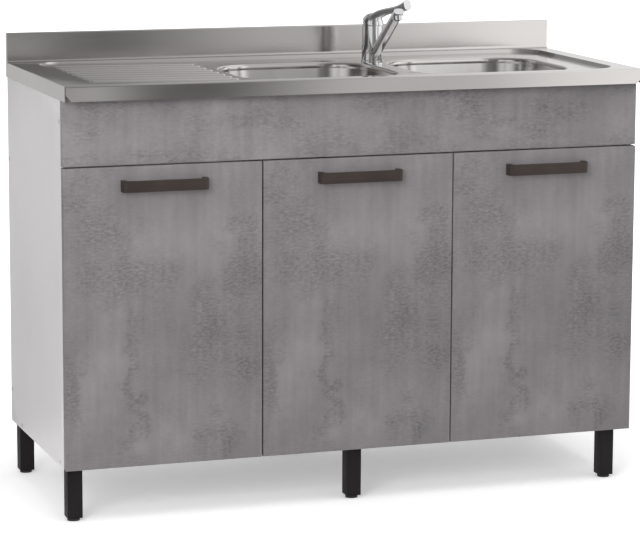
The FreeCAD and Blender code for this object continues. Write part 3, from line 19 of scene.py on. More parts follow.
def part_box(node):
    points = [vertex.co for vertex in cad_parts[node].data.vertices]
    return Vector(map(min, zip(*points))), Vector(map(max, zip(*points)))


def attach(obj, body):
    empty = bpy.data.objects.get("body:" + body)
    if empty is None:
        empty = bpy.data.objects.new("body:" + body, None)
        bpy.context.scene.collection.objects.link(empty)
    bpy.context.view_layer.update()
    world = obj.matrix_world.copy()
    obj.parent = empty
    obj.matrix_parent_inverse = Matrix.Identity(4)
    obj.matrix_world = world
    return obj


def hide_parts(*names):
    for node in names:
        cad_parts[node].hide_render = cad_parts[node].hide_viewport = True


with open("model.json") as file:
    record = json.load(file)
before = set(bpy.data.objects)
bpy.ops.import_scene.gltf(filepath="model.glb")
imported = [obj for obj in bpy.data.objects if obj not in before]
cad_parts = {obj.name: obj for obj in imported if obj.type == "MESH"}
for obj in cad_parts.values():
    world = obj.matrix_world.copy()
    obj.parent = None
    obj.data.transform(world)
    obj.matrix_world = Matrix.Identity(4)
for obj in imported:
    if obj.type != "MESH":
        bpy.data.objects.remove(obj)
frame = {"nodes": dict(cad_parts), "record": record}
nodes = frame["nodes"]
bodies = frame["record"]["behaviour"]["bodies"]
body_of_node = {name: body for body, names in bodies.items() for name in names}
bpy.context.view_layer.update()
bpy.ops.object.select_all(action="DESELECT")
print("nodes in the frame:", len(nodes))

# %% [markdown]
# ## The camera
#
# The photograph was taken from the left, a little above the deck, with a long lens. A camera could
# be placed by eye, but its position, turn and tilt were fitted to twenty corners of the unit, so we
# write them as numbers. The picture is slightly off the lens's centre, which is a small shift.

# %% Place the camera
CAMERA_PLACE = Vector((-1.842, -5.321, 1.408))
CAMERA_TURN = math.radians(19.06)
CAMERA_TILT = math.radians(-9.14)
CAMERA_ROLL = math.radians(0.236)
LENS = 156.1
SHIFT_UP = -0.05

ahead = Vector((math.sin(CAMERA_TURN) * math.cos(CAMERA_TILT),
                math.cos(CAMERA_TURN) * math.cos(CAMERA_TILT), math.sin(CAMERA_TILT)))
level = Vector((math.cos(CAMERA_TURN), -math.sin(CAMERA_TURN), 0.0))
up = level.cross(ahead)
right = level * math.cos(CAMERA_ROLL) + up * math.sin(CAMERA_ROLL)
up = up * math.cos(CAMERA_ROLL) - level * math.sin(CAMERA_ROLL)

bpy.ops.object.camera_add(location=CAMERA_PLACE)
camera = bpy.context.object
camera.name = "camera"
turn = Matrix((right, up, -ahead)).transposed()
camera.matrix_world = Matrix.Translation(CAMERA_PLACE) @ turn.to_4x4()
camera.data.lens = LENS
camera.data.sensor_width = 36.0
camera.data.shift_y = SHIFT_UP
camera.data.clip_end = 100.0
bpy.context.scene.camera = camera
print("camera looks along", [round(value, 3) for value in ahead])

# %% [markdown]
# ## Small helpers for materials
#
# A material is a little network: patterns go in on the left, numbers are spread or mixed in the
# middle, and one shader comes out. Each node could be typed out in full, but the same five or six
# kinds come back all the time, so we make a short function for each of them.

# %% Node helpers
def node(tree, kind, inputs=None, **settings):
    """Add a node, set its properties, and give each input a number or another node's socket."""
    made = tree.nodes.new(kind)
    for name, value in settings.items():
        setattr(made, name, value)
    for name, value in (inputs or {}).items():
        if isinstance(value, bpy.types.NodeSocket):
            tree.links.new(value, made.inputs[name])
        else:
            made.inputs[name].default_value = value
    return made


def place_in(tree):
    """The point on the surface in the object's own coordinates, in metres."""
    return node(tree, "ShaderNodeTexCoord").outputs["Object"]


def stretched(tree, place, scale):
    """The same point with its three coordinates stretched."""
    return node(tree, "ShaderNodeMapping", {"Vector": place, "Scale": scale}).outputs["Vector"]


def grain(tree, place, scale, detail=3.0, rough=0.55):
    """Cloudy noise of 0 to 1, with scale in lumps for each metre along X, Y and Z."""
    where = stretched(tree, place, scale)
    return node(tree, "ShaderNodeTexNoise", {"Vector": where, "Scale": 1.0, "Detail": detail,
                                            "Roughness": rough}).outputs[0]


def spread(tree, value, low, high, to_low, to_high):
    """Map the range low..high of a value to another range, and hold it at both ends."""
    return node(tree, "ShaderNodeMapRange", {"Value": value, "From Min": low, "From Max": high,
                                            "To Min": to_low, "To Max": to_high}).outputs[0]


def sums(tree, operation, first, second):
    """One step of arithmetic on two values."""
    made = node(tree, "ShaderNodeMath", {0: first, 1: second}, operation=operation)
    return made.outputs[0]


def mixed(tree, factor, first, second):
    """A colour between two colours."""
    made = node(tree, "ShaderNodeMix", {0: factor, 6: first, 7: second}, data_type="RGBA")
    return made.outputs[2]


def bumped(tree, height, strength, depth):
    """A normal that follows a height, with its depth in metres."""
    return node(tree, "ShaderNodeBump", {"Height": height, "Strength": strength,
                                        "Distance": depth}).outputs["Normal"]


def grey(level):
    """A neutral colour of one level."""
    return (level, level, level, 1.0)


def shade(red, green, blue):
    """A colour as a screen shows it, 0 to 255, in the linear values that the shader wants."""
    def linear(value):
        part = value / 255.0
        return part / 12.92 if part <= 0.04045 else ((part + 0.055) / 1.055) ** 2.4
    return (linear(red), linear(green), linear(blue), 1.0)


def new_finish(name):
    """A node material and its shader, ready for a pattern."""
    material = bpy.data.materials.new(name)
    material.use_nodes = True
    return material, material.node_tree, material.node_tree.nodes["Principled BSDF"]


def feed(tree, shader, **sockets):
    """Link sockets to the shader's inputs by name, with _ for a space."""
    for name, socket in sockets.items():
        tree.links.new(socket, shader.inputs[name.replace("_", " ")])


print("helpers ready")

# %% [markdown]
# ## The studio
#
# The photograph shows the unit on white, with a faint grey shadow. We could light a white floor
# until it clips, but that would bleach the boards too. Instead the floor and the world are white
# only where the camera or a glossy ray looks at them, and the light on the object stays at a plain
# level. For all other rays the floor is plain grey paper, which gives back some light from below.
# Where the camera looks it still takes the shadow, and its own glow grows with the distance from
# the unit, so that it is plain white further out.

# %% Floor and world
FLOOR_SIZE = 60.0
FLOOR_GLOW = 0.28
FLOOR_CATCH = 0.98
FLOOR_BOUNCE = 0.62
CLEAR_FROM = 0.5
CLEAR_BY = 2.2
SKY_LEVEL = 0.54

bpy.ops.mesh.primitive_plane_add(size=FLOOR_SIZE, location=(0.0, 0.0, 0.0))
floor = bpy.context.object
floor.name = "studio_floor"
floor_paint, tree, shader = new_finish("studio_floor_white")
tree.nodes.remove(shader)
rays = node(tree, "ShaderNodeLightPath")
paper = node(tree, "ShaderNodeBsdfDiffuse", {"Color": grey(FLOOR_BOUNCE)})
soft_paper = node(tree, "ShaderNodeBsdfDiffuse", {"Color": grey(FLOOR_CATCH)})
distance = node(tree, "ShaderNodeVectorMath", {0: place_in(tree)}, operation="LENGTH").outputs[1]
level_here = spread(tree, distance, CLEAR_FROM, CLEAR_BY, FLOOR_GLOW, 1.0)
glow = node(tree, "ShaderNodeEmission", {"Color": grey(1.0), "Strength": level_here})
bright = node(tree, "ShaderNodeAddShader", {0: soft_paper.outputs[0], 1: glow.outputs[0]})
seen = sums(tree, "MAXIMUM", rays.outputs["Is Camera Ray"], rays.outputs["Is Glossy Ray"])
choice = node(tree, "ShaderNodeMixShader", {0: seen, 1: paper.outputs[0], 2: bright.outputs[0]})
tree.links.new(choice.outputs[0], tree.nodes["Material Output"].inputs["Surface"])
floor.data.materials.append(floor_paint)

world = bpy.data.worlds.new("studio")
bpy.context.scene.world = world
world.use_nodes = True
tree = world.node_tree
tree.nodes.remove(tree.nodes["Background"])
rays = node(tree, "ShaderNodeLightPath")
seen = sums(tree, "MAXIMUM", rays.outputs["Is Camera Ray"], rays.outputs["Is Glossy Ray"])
seen = sums(tree, "MAXIMUM", seen, rays.outputs["Is Transmission Ray"])
sky = node(tree, "ShaderNodeBackground", {"Color": grey(1.0), "Strength": SKY_LEVEL})
white = node(tree, "ShaderNodeBackground", {"Color": grey(1.0), "Strength": 1.0})
choice = node(tree, "ShaderNodeMixShader", {0: seen, 1: sky.outputs[0], 2: white.outputs[0]})
tree.links.new(choice.outputs[0], tree.nodes["World Output"].inputs["Surface"])
bpy.context.scene.view_settings.view_transform = "Standard"
print("floor and world ready")

# %% [markdown]
# ## Lamps
#
# The shading in the photograph is soft and even: the side gets about as much light as the fronts,
# and the shadows have no edge. Two large soft boxes do that, one at the front left and one
# overhead. A small hard lamp would leave edges on the shadows.

# %% Soft boxes
LEFT_POWER = 82.0
TOP_POWER = 44.0


def soft_box(name, place, aim, size, power):
    """A square area lamp that faces a point. Glossy rays don't see it."""
    bpy.ops.object.light_add(type="AREA", location=place)
    lamp = bpy.context.object
    lamp.name = name
    lamp.data.size = size
    lamp.data.energy = power
    lamp.rotation_euler = (Vector(aim) - Vector(place)).to_track_quat("-Z", "Y").to_euler()
    lamp.visible_glossy = False


soft_box("soft_box_left", (-3.0, -3.7, 2.3), (0.0, 0.0, 0.4), 1.8, LEFT_POWER)
soft_box("soft_box_top", (0.2, -0.9, 3.6), (0.1, 0.0, 0.0), 2.4, TOP_POWER)

# %% [markdown]
# ## What the steel sees
#
# Steel has no colour of its own to speak of: it shows the room. In the photograph the upstand and
# the front fold go from dark at the left to nearly white at the right, so something dark stood in
# front of the unit at the left. A photographer calls that a flag. We could paint the change into
# the steel, but it would stay there from every side. So we build a room of cards round the unit
# that only glossy rays see: they give no light, throw no shadow, and don't show in the picture.
# The lamps are hidden from glossy rays in turn, so the room is all that the steel shows.

# %% Cards for the reflections
def reflection_card(name, place, turned, size, stops):
    """A card seen by glossy rays alone. stops are (part of its width, level)."""
    bpy.ops.mesh.primitive_plane_add(size=1.0)
    card = bpy.context.object
    card.name = name
    card.scale = (size[0], size[1], 1.0)
    card.rotation_euler = [math.radians(angle) for angle in turned]
    card.location = place
    paint, tree, shader = new_finish(name + "_paint")
    tree.nodes.remove(shader)
    where = node(tree, "ShaderNodeSeparateXYZ", {0: place_in(tree)}).outputs[0]
    across = sums(tree, "ADD", where, 0.5)
    ramp = node(tree, "ShaderNodeValToRGB", {0: across})
    while len(ramp.color_ramp.elements) < len(stops):
        ramp.color_ramp.elements.new(0.5)
    for element, (part, level_here) in zip(ramp.color_ramp.elements, stops):
        element.position = part
        element.color = grey(level_here)
    light = node(tree, "ShaderNodeEmission", {"Color": ramp.outputs[0], "Strength": 1.0})
    tree.links.new(light.outputs[0], tree.nodes["Material Output"].inputs["Surface"])
    card.data.materials.append(paint)
    card.visible_camera = False
    card.visible_diffuse = False
    card.visible_shadow = False
    card.visible_transmission = False


ROOM_WIDE = 7.4
ROOM_DEEP = 6.0
ROOM_HIGH = 4.2
ROOM_X = 0.5
BAND_Z = 0.85
LOW_STOPS = [(0.0, 0.7), (0.25, 0.9), (0.36, 0.10), (0.44, 0.40), (0.459, 0.80), (0.468, 0.13),
             (0.505, 0.12), (0.522, 0.22), (0.557, 0.66), (0.588, 0.66), (0.608, 0.52),
             (0.642, 0.92), (0.69, 1.22), (0.80, 0.9), (0.86, 0.10), (1.0, 0.8)]
HIGH_STOPS = [(0.0, 0.5), (0.20, 0.9), (0.33, 0.10), (0.44, 0.22), (0.493, 0.20), (0.520, 0.34),
              (0.568, 0.50), (0.601, 0.58), (0.642, 0.90), (0.70, 1.25), (0.80, 1.1), (0.88, 0.15),
              (1.0, 0.9)]
BACK_STOPS = [(0.0, 0.40), (0.26, 0.62), (0.36, 0.40), (0.44, 0.28), (0.56, 0.55), (0.68, 0.85),
              (0.84, 1.0), (0.92, 0.20), (1.0, 0.20)]
LEFT_STOPS = [(0.0, 0.9), (0.25, 0.7), (0.40, 0.06), (0.70, 0.10), (1.0, 0.35)]
RIGHT_STOPS = [(0.0, 1.0), (0.50, 1.2), (0.78, 1.0), (0.88, 0.12), (0.94, 0.12), (1.0, 0.9)]
CEILING_STOPS = [(0.0, 0.15), (0.42, 0.30), (0.58, 0.60), (0.72, 1.1), (0.86, 1.0), (1.0, 0.4)]
FLOOR_STOPS = [(0.0, 0.35), (0.46, 0.30), (0.60, 0.65), (0.75, 0.95), (1.0, 0.9)]
UPRIGHT = (90.0, 0.0, 0.0)
UPRIGHT_SIDE = (90.0, 0.0, 90.0)
FLAT = (0.0, 0.0, 0.0)
MIDDLE_Z = ROOM_HIGH / 2.0
HIGH_PART = ROOM_HIGH - BAND_Z
reflection_card("card_low", (ROOM_X, -ROOM_DEEP / 2.0, BAND_Z / 2.0), UPRIGHT,
                (ROOM_WIDE, BAND_Z), LOW_STOPS)
reflection_card("card_high", (ROOM_X, -ROOM_DEEP / 2.0, BAND_Z + HIGH_PART / 2.0), UPRIGHT,
                (ROOM_WIDE, HIGH_PART), HIGH_STOPS)
reflection_card("card_back", (ROOM_X, ROOM_DEEP / 2.0, MIDDLE_Z), UPRIGHT,
                (ROOM_WIDE, ROOM_HIGH), BACK_STOPS)
reflection_card("card_left", (ROOM_X - ROOM_WIDE / 2.0, 0.0, MIDDLE_Z), UPRIGHT_SIDE,
                (ROOM_DEEP, ROOM_HIGH), LEFT_STOPS)
reflection_card("card_right", (ROOM_X + ROOM_WIDE / 2.0, 0.0, MIDDLE_Z), UPRIGHT_SIDE,
                (ROOM_DEEP, ROOM_HIGH), RIGHT_STOPS)
reflection_card("card_ceiling", (ROOM_X, 0.0, ROOM_HIGH), FLAT, (ROOM_WIDE, ROOM_DEEP),
                CEILING_STOPS)
reflection_card("card_floor", (ROOM_X, -1.75, 0.01), FLAT, (ROOM_WIDE, 2.5), FLOOR_STOPS)
reflection_card("card_floor_back", (ROOM_X, 1.75, 0.01), FLAT, (ROOM_WIDE, 2.5), FLOOR_STOPS)
print("cards ready")

# %% [markdown]
# ## Steel
#
# The top is a sheet with a fine brush grain along its length, the bowls are drawn deeper and have
# a softer satin. Both could be one grey metal, but the grain is what tells sheet steel from
# plastic. The grain is noise stretched along X: it changes the roughness a little, and as a bump
# it spreads the reflections upward and downward, as real brushing does.

# %% Brushed and satin steel
def brushed_steel():
    """Sheet steel with a grain along X."""
    material, tree, shader = new_finish("stainless")
    place = place_in(tree)
    lines = grain(tree, place, (3.0, 900.0, 900.0), 4.0, 0.6)
    clouds = grain(tree, place, (4.0, 12.0, 12.0), 3.0, 0.5)
    tone = sums(tree, "ADD", sums(tree, "MULTIPLY", lines, 0.35), sums(tree, "MULTIPLY", clouds, 0.65))
    colour = mixed(tree, spread(tree, tone, 0.35, 0.65, 0.0, 1.0), (0.615, 0.595, 0.58, 1.0),
                   (0.665, 0.645, 0.63, 1.0))
    feed(tree, shader, Base_Color=colour, Roughness=spread(tree, tone, 0.3, 0.7, 0.11, 0.17),
         Normal=bumped(tree, lines, 0.18, 0.00008))
    shader.inputs["Metallic"].default_value = 1.0
    return material


def satin_steel():
    """Deep-drawn steel, smoother, with the faint mottling of the press."""
    material, tree, shader = new_finish("bowl_steel")
    place = place_in(tree)
    fine = grain(tree, place, (700.0, 700.0, 700.0), 3.0, 0.6)
    waves = grain(tree, place, (14.0, 14.0, 9.0), 2.0, 0.5)
    feed(tree, shader, Roughness=spread(tree, fine, 0.3, 0.7, 0.15, 0.22),
         Base_Color=mixed(tree, spread(tree, waves, 0.35, 0.65, 0.0, 1.0),
                          (0.63, 0.61, 0.605, 1.0), (0.70, 0.685, 0.68, 1.0)),
         Normal=bumped(tree, sums(tree, "ADD", waves, sums(tree, "MULTIPLY", fine, 0.01)), 0.3, 0.0012))
    shader.inputs["Metallic"].default_value = 1.0
    return material


STAINLESS = brushed_steel()
BOWL_STEEL = satin_steel()
print("finishes:", STAINLESS.name, BOWL_STEEL.name)

# %% [markdown]
# ## Chrome and zinc
#
# The tap is polished chrome: almost a mirror, with a hint of unevenness where it was buffed. The
# hinges, screws and clips are zinc plated, which is duller and a little blotchy. Two short
# networks with other numbers are enough.

# %% Chrome and zinc plate
def chrome_plate():
    """Polished chrome with faint buffing."""
    material, tree, shader = new_finish("chrome")
    place = place_in(tree)
    buffing = grain(tree, place, (60.0, 60.0, 60.0), 2.0, 0.5)
    feed(tree, shader, Roughness=spread(tree, buffing, 0.3, 0.7, 0.04, 0.09),
         Base_Color=mixed(tree, buffing, (0.70, 0.70, 0.71, 1.0), (0.80, 0.80, 0.81, 1.0)))
    shader.inputs["Metallic"].default_value = 1.0
    return material


def zinc_plate():
    """Bright zinc with its blotches."""
    material, tree, shader = new_finish("zinc")
    place = place_in(tree)
    blotches = grain(tree, place, (150.0, 150.0, 150.0), 4.0, 0.6)
    feed(tree, shader, Roughness=spread(tree, blotches, 0.3, 0.7, 0.26, 0.45),
         Base_Color=mixed(tree, blotches, (0.50, 0.50, 0.48, 1.0), (0.68, 0.67, 0.63, 1.0)),
         Normal=bumped(tree, blotches, 0.15, 0.0001))
    shader.inputs["Metallic"].default_value = 1.0
    return material


CHROME = chrome_plate()
ZINC = zinc_plate()
print("finishes:", CHROME.name, ZINC.name)

# %% [markdown]
# ## White board
#
# The carcass is chipboard with a white film. The film is slightly pearled, and the back edges,
# which stand against the wall, are left as bare chips. A second material could go on those faces,
# but one that looks at the place does both: past a certain Y the film gives way to the chips. The
# rails across the back show their broad face there and not an edge, so for them that Y is moved
# away, and they are white all over.

# %% White film on chipboard
BARE_EDGE_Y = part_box("side_panel_left")[1].y - 0.0003
NEVER_BARE_Y = BARE_EDGE_Y + 1.0


def film_on_chips(name, bare_from):
    """White film with a pearled surface, and bare chips behind a certain Y."""
    material, tree, shader = new_finish(name)
    place = place_in(tree)
    pearl = grain(tree, place, (1100.0, 1100.0, 1100.0), 2.0, 0.5)
    haze = grain(tree, place, (5.0, 5.0, 5.0), 3.0, 0.5)
    film = mixed(tree, spread(tree, haze, 0.3, 0.7, 0.0, 1.0), shade(231, 228, 229),
                 shade(237, 234, 235))
    chips = grain(tree, place, (260.0, 260.0, 160.0), 4.0, 0.7)
    wood = mixed(tree, spread(tree, chips, 0.35, 0.65, 0.0, 1.0), shade(128, 96, 62),
                 shade(205, 176, 134))
    depth = node(tree, "ShaderNodeSeparateXYZ", {0: place}).outputs[1]
    bare = sums(tree, "GREATER_THAN", depth, bare_from)
    height = sums(tree, "ADD", sums(tree, "MULTIPLY", pearl, 0.06),
                  sums(tree, "MULTIPLY", sums(tree, "MULTIPLY", chips, bare), 0.6))
    feed(tree, shader, Base_Color=mixed(tree, bare, film, wood),
         Roughness=spread(tree, bare, 0.0, 1.0, 0.38, 0.85),
         Normal=bumped(tree, height, 0.35, 0.0006))
    return material


WHITE_BOARD = film_on_chips("white_board", BARE_EDGE_Y)
WHITE_RAIL = film_on_chips("white_rail", NEVER_BARE_Y)
print("bare edge behind Y =", round(BARE_EDGE_Y, 4))

# %% [markdown]
# ## Concrete-look film
#
# The fronts carry a printed concrete pattern. Each door has the same print, which the photograph
# shows by its clouds coming back three times. So the pattern must repeat with the doors and must
# not be plain noise. We wrap X to one door's width first, then build the print in layers: broad
# clouds, dark speckled patches, a smooth lighter field under the handle, upright streaks in the
# lower half, and fine grit over it all. The soft patches have set places, and noise frays them.

# %% The print's own coordinates
DOOR_LOW, DOOR_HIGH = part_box("door_left")
DOOR_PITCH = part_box("door_middle")[0].x - DOOR_LOW.x
DOOR_WIDTH = DOOR_HIGH.x - DOOR_LOW.x
DOOR_HEIGHT = DOOR_HIGH.z - DOOR_LOW.z


def print_place(tree, place):
    """X wrapped to one door, from its left edge, Y flattened, and Z from the door's foot."""
    parts = node(tree, "ShaderNodeSeparateXYZ", {0: place})
    over = node(tree, "ShaderNodeMath", {0: parts.outputs[0], 1: DOOR_LOW.x + DOOR_PITCH,
                                        2: DOOR_LOW.x}, operation="WRAP").outputs[0]
    across = sums(tree, "SUBTRACT", over, DOOR_LOW.x)
    rise = sums(tree, "SUBTRACT", parts.outputs[2], DOOR_LOW.z)
    return node(tree, "ShaderNodeCombineXYZ", {0: across, 1: 0.0, 2: rise}).outputs[0]


def frayed(tree, where, amount):
    """The same place pushed about by noise, so that a patch gets an uneven rim."""
    noise = node(tree, "ShaderNodeTexNoise", {"Vector": where, "Scale": 16.0, "Detail": 5.0,
                                             "Roughness": 0.65}).outputs[1]
    centred = node(tree, "ShaderNodeVectorMath", {0: noise, 1: (0.5, 0.5, 0.5)},
                   operation="SUBTRACT").outputs[0]
    push = node(tree, "ShaderNodeVectorMath", {0: centred, "Scale": amount},
                operation="SCALE").outputs[0]
    return node(tree, "ShaderNodeVectorMath", {0: where, 1: push}, operation="ADD").outputs[0]


def soft_patch(tree, where, across, rise, wide, high):
    """1 at a patch's middle and 0 at its rim. The numbers are parts of a door's width and height."""
    centre = (across * DOOR_WIDTH, 0.0, rise * DOOR_HEIGHT)
    off = node(tree, "ShaderNodeVectorMath", {0: where, 1: centre}, operation="SUBTRACT").outputs[0]
    scale = (1.0 / (wide * DOOR_WIDTH), 1.0, 1.0 / (high * DOOR_HEIGHT))
    scaled = node(tree, "ShaderNodeVectorMath", {0: off, 1: scale}, operation="MULTIPLY").outputs[0]
    ball = node(tree, "ShaderNodeTexGradient", {0: scaled}, gradient_type="SPHERICAL").outputs[1]
    return spread(tree, ball, 0.0, 0.75, 0.0, 1.0)


print("one door of the print, in metres:", round(DOOR_WIDTH, 4), round(DOOR_HEIGHT, 4))

# %% [markdown]
# The dark patches and the light ones are listed: where the middle is, and how far each
# reaches. A list is easy to correct against the photograph, one patch at a time. The film's tone is
# then a sum of layers, and each layer's weight says how far it may push the tone up or down.

# %% The print
DARK_PATCHES = [(0.17, 0.77, 0.22, 0.10), (0.28, 0.64, 0.34, 0.13), (0.88, 0.77, 0.10, 0.08),
                (0.92, 0.62, 0.16, 0.20), (0.72, 0.42, 0.14, 0.22), (0.34, 0.26, 0.06, 0.34),
                (0.76, 0.09, 0.14, 0.07), (0.90, 0.33, 0.14, 0.14), (0.03, 0.28, 0.08, 0.18),
                (0.06, 0.90, 0.16, 0.10)]
LIGHT_PATCHES = [(0.63, 0.80, 0.26, 0.24), (0.20, 0.32, 0.16, 0.26), (0.45, 0.12, 0.12, 0.14),
                 (0.58, 0.98, 0.50, 0.08)]
DOOR_TONE = 0.51
# The fixed board's film is set lighter than the doors': painted light that lifts the shade the deck's
# lip throws on it.
FASCIA_TONE_PAINTED_LIGHTER = 0.60
CLOUD_WEIGHT = 0.62
PALE_WEIGHT = 0.09
DARK_WEIGHT = 0.12
FLECK_WEIGHT = 0.9
STREAK_WEIGHT = 0.30
GRIT_WEIGHT = 0.30
WORN_EVERYWHERE = 0.34
WORN_IN_DARK = 1.15
WORN_LESS_IN_PALE = 0.24


def gathered(tree, where, patches):
    """The strongest of several patches at each place."""
    total = soft_patch(tree, where, *patches[0])
    for patch in patches[1:]:
        total = sums(tree, "MAXIMUM", total, soft_patch(tree, where, *patch))
    return total


def swing(tree, noise, amount):
    """Noise of 0 to 1 as a change up and down about nothing."""
    return sums(tree, "MULTIPLY", sums(tree, "SUBTRACT", noise, 0.5), amount)


def concrete_film(name, patches, mean_tone):
    """The printed film, for the doors with their patches, or for the fixed board without."""
    material, tree, shader = new_finish(name)
    place = place_in(tree)
    if patches:
        where = print_place(tree, place)
        rough_place = frayed(tree, where, 0.20)
        dark = gathered(tree, rough_place, DARK_PATCHES)
        pale = gathered(tree, rough_place, LIGHT_PATCHES)
    else:
        where = place
        rough_place = frayed(tree, where, 0.10)
        dark = spread(tree, grain(tree, rough_place, (7.0, 0.0, 15.0), 3.0, 0.6), 0.46, 0.66, 0.0, 1.0)
        pale = spread(tree, grain(tree, rough_place, (4.0, 0.0, 9.0), 2.0, 0.5), 0.52, 0.70, 0.0, 1.0)
    clouds = grain(tree, where, (7.0, 1.0, 6.0), 6.0, 0.62)
    streaks = grain(tree, where, (60.0, 1.0, 4.0), 4.0, 0.6)
    flecks = grain(tree, where, (95.0, 1.0, 230.0), 4.0, 0.72)
    grit = grain(tree, where, (430.0, 1.0, 560.0), 3.0, 0.65)
    worn = sums(tree, "ADD", sums(tree, "MULTIPLY", dark, WORN_IN_DARK), WORN_EVERYWHERE)
    worn = sums(tree, "SUBTRACT", worn, sums(tree, "MULTIPLY", pale, WORN_LESS_IN_PALE))
    tone = sums(tree, "ADD", swing(tree, clouds, CLOUD_WEIGHT), mean_tone)
    tone = sums(tree, "ADD", tone, sums(tree, "MULTIPLY", pale, PALE_WEIGHT))
    tone = sums(tree, "SUBTRACT", tone, sums(tree, "MULTIPLY", dark, DARK_WEIGHT))
    tone = sums(tree, "ADD", tone, sums(tree, "MULTIPLY", swing(tree, flecks, FLECK_WEIGHT), worn))
    tone = sums(tree, "ADD", tone, swing(tree, streaks, STREAK_WEIGHT))
    tone = sums(tree, "ADD", tone, swing(tree, grit, GRIT_WEIGHT))
    ramp = node(tree, "ShaderNodeValToRGB", {0: tone})
    ramp.color_ramp.elements[0].position = 0.0
    ramp.color_ramp.elements[0].color = shade(92, 88, 90)
    ramp.color_ramp.elements[1].position = 1.0
    ramp.color_ramp.elements[1].color = shade(178, 173, 175)
    middle = ramp.color_ramp.elements.new(0.5)
    middle.color = shade(139, 135, 137)
    height = sums(tree, "ADD", sums(tree, "MULTIPLY", flecks, 0.6), sums(tree, "MULTIPLY", grit, 0.4))
    feed(tree, shader, Base_Color=ramp.outputs[0],
         Roughness=spread(tree, tone, 0.2, 0.8, 0.62, 0.50),
         Normal=bumped(tree, height, 0.25, 0.0002))
    shader.inputs["Specular IOR Level"].default_value = 0.3
    return material


CONCRETE_DOOR = concrete_film("concrete_board", True, DOOR_TONE)
# The fixed board takes the lighter tone, painted light over the shade under the deck.
CONCRETE_FASCIA = concrete_film("concrete_fascia", False, FASCIA_TONE_PAINTED_LIGHTER)
print("concrete nodes:", len(CONCRETE_DOOR.node_tree.nodes))

# %% [markdown]
# ## Black steel, bronze straps, plastics and rubber
#
# The legs are square tube with a fine black powder coat. The handles are dark brown, a metallic
# lacquer brushed along the strap. The waste pipes are white plastic, moulded and slightly waxy,
# the feet are black plastic, and the seals are matt rubber. Each is one colour that noise breaks
# up a little, with the bump that its surface has.

# %% Coats, plastics and rubber
def coated(name, dark, light, grain_scale, roughness, bump_depth, metal=0.0, gloss=0.5):
    """A finish of two near colours, a roughness range and a small bump, all from one grain."""
    material, tree, shader = new_finish(name)
    place = place_in(tree)
    fine = grain(tree, place, grain_scale, 3.0, 0.55)
    broad = grain(tree, place, (18.0, 18.0, 18.0), 2.0, 0.5)
    both = sums(tree, "ADD", sums(tree, "MULTIPLY", fine, 0.5), sums(tree, "MULTIPLY", broad, 0.5))
    feed(tree, shader, Base_Color=mixed(tree, spread(tree, both, 0.35, 0.65, 0.0, 1.0), dark, light),
         Roughness=spread(tree, both, 0.35, 0.65, roughness[0], roughness[1]),
         Normal=bumped(tree, fine, 0.4, bump_depth))
    shader.inputs["Metallic"].default_value = metal
    shader.inputs["Specular IOR Level"].default_value = gloss
    return material


BLACK_STEEL = coated("black_steel", shade(26, 22, 23), shade(34, 30, 31), (900.0, 900.0, 900.0),
                     (0.55, 0.68), 0.0001, 0.0, 0.2)
DARK_HANDLE = coated("dark_handle", shade(64, 55, 52), shade(75, 66, 62), (8.0, 900.0, 900.0),
                     (0.40, 0.52), 0.00008, 0.3, 0.3)
BLACK_PLASTIC = coated("black_plastic", shade(24, 23, 24), shade(34, 33, 34), (500.0, 500.0, 500.0),
                       (0.45, 0.6), 0.0001)
WHITE_PLASTIC = coated("white_plastic", shade(226, 226, 221), shade(236, 236, 232),
                       (260.0, 260.0, 260.0), (0.30, 0.42), 0.00008)
SEAL_RUBBER = coated("seal_rubber", shade(38, 37, 38), shade(50, 49, 50), (600.0, 600.0, 600.0),
                     (0.7, 0.82), 0.0001)
FINISHES = {"stainless": STAINLESS, "bowl_steel": BOWL_STEEL, "chrome": CHROME, "zinc": ZINC,
            "white_board": WHITE_BOARD, "concrete_board": CONCRETE_DOOR,
            "black_steel": BLACK_STEEL, "dark_handle": DARK_HANDLE,
            "black_plastic": BLACK_PLASTIC, "white_plastic": WHITE_PLASTIC,
            "seal_rubber": SEAL_RUBBER}
print("finishes:", len(FINISHES))

# %% [markdown]
# ## Dressing the frame
#
# Each CAD node comes as loose triangles with a flat look, and it names the slot of its finish. The
# small hidden ones keep their mesh and just get the material. Where a curve shows, such as on the
# tap or in the bowls, we take a merged copy of the mesh, shade it smooth, and let it stand for the
# node. Boards, straps and tubes also get their long sharp edges rounded by a fraction of a
# millimetre, because no real edge is perfectly sharp, and it is that small round that catches light.

# %% Give every node its finish
slot_of_node = {name: item.data.materials[0].name for name, item in nodes.items()}
for name, item in nodes.items():
    item.data.materials[0] = FINISHES[slot_of_node[name]]
nodes["fascia_panel"].data.materials[0] = CONCRETE_FASCIA
nodes["rear_rails"].data.materials[0] = WHITE_RAIL
print("slots in use:", sorted(set(slot_of_node.values())))


# %% Merged copies with smooth curves and soft edges
MERGE_WITHIN = 0.00001
LONG_EDGE = 0.018
SQUARE_TURN = math.radians(50.0)
FLAT_TURN = math.radians(0.5)


def merged_copy(name):
    """A copy of a node's mesh with its loose triangles joined, in edit mode's way."""
    mesh = nodes[name].data.copy()
    piece = bpy.data.objects.new(name + "_finished", mesh)
    bpy.context.scene.collection.objects.link(piece)
    bpy.ops.object.select_all(action="DESELECT")
    piece.select_set(True)
    bpy.context.view_layer.objects.active = piece
    bpy.ops.mesh.customdata_custom_splitnormals_clear()
    bpy.ops.object.mode_set(mode="EDIT")
    bpy.ops.mesh.select_all(action="SELECT")
    bpy.ops.mesh.remove_doubles(threshold=MERGE_WITHIN)
    bpy.ops.object.mode_set(mode="OBJECT")
    return piece


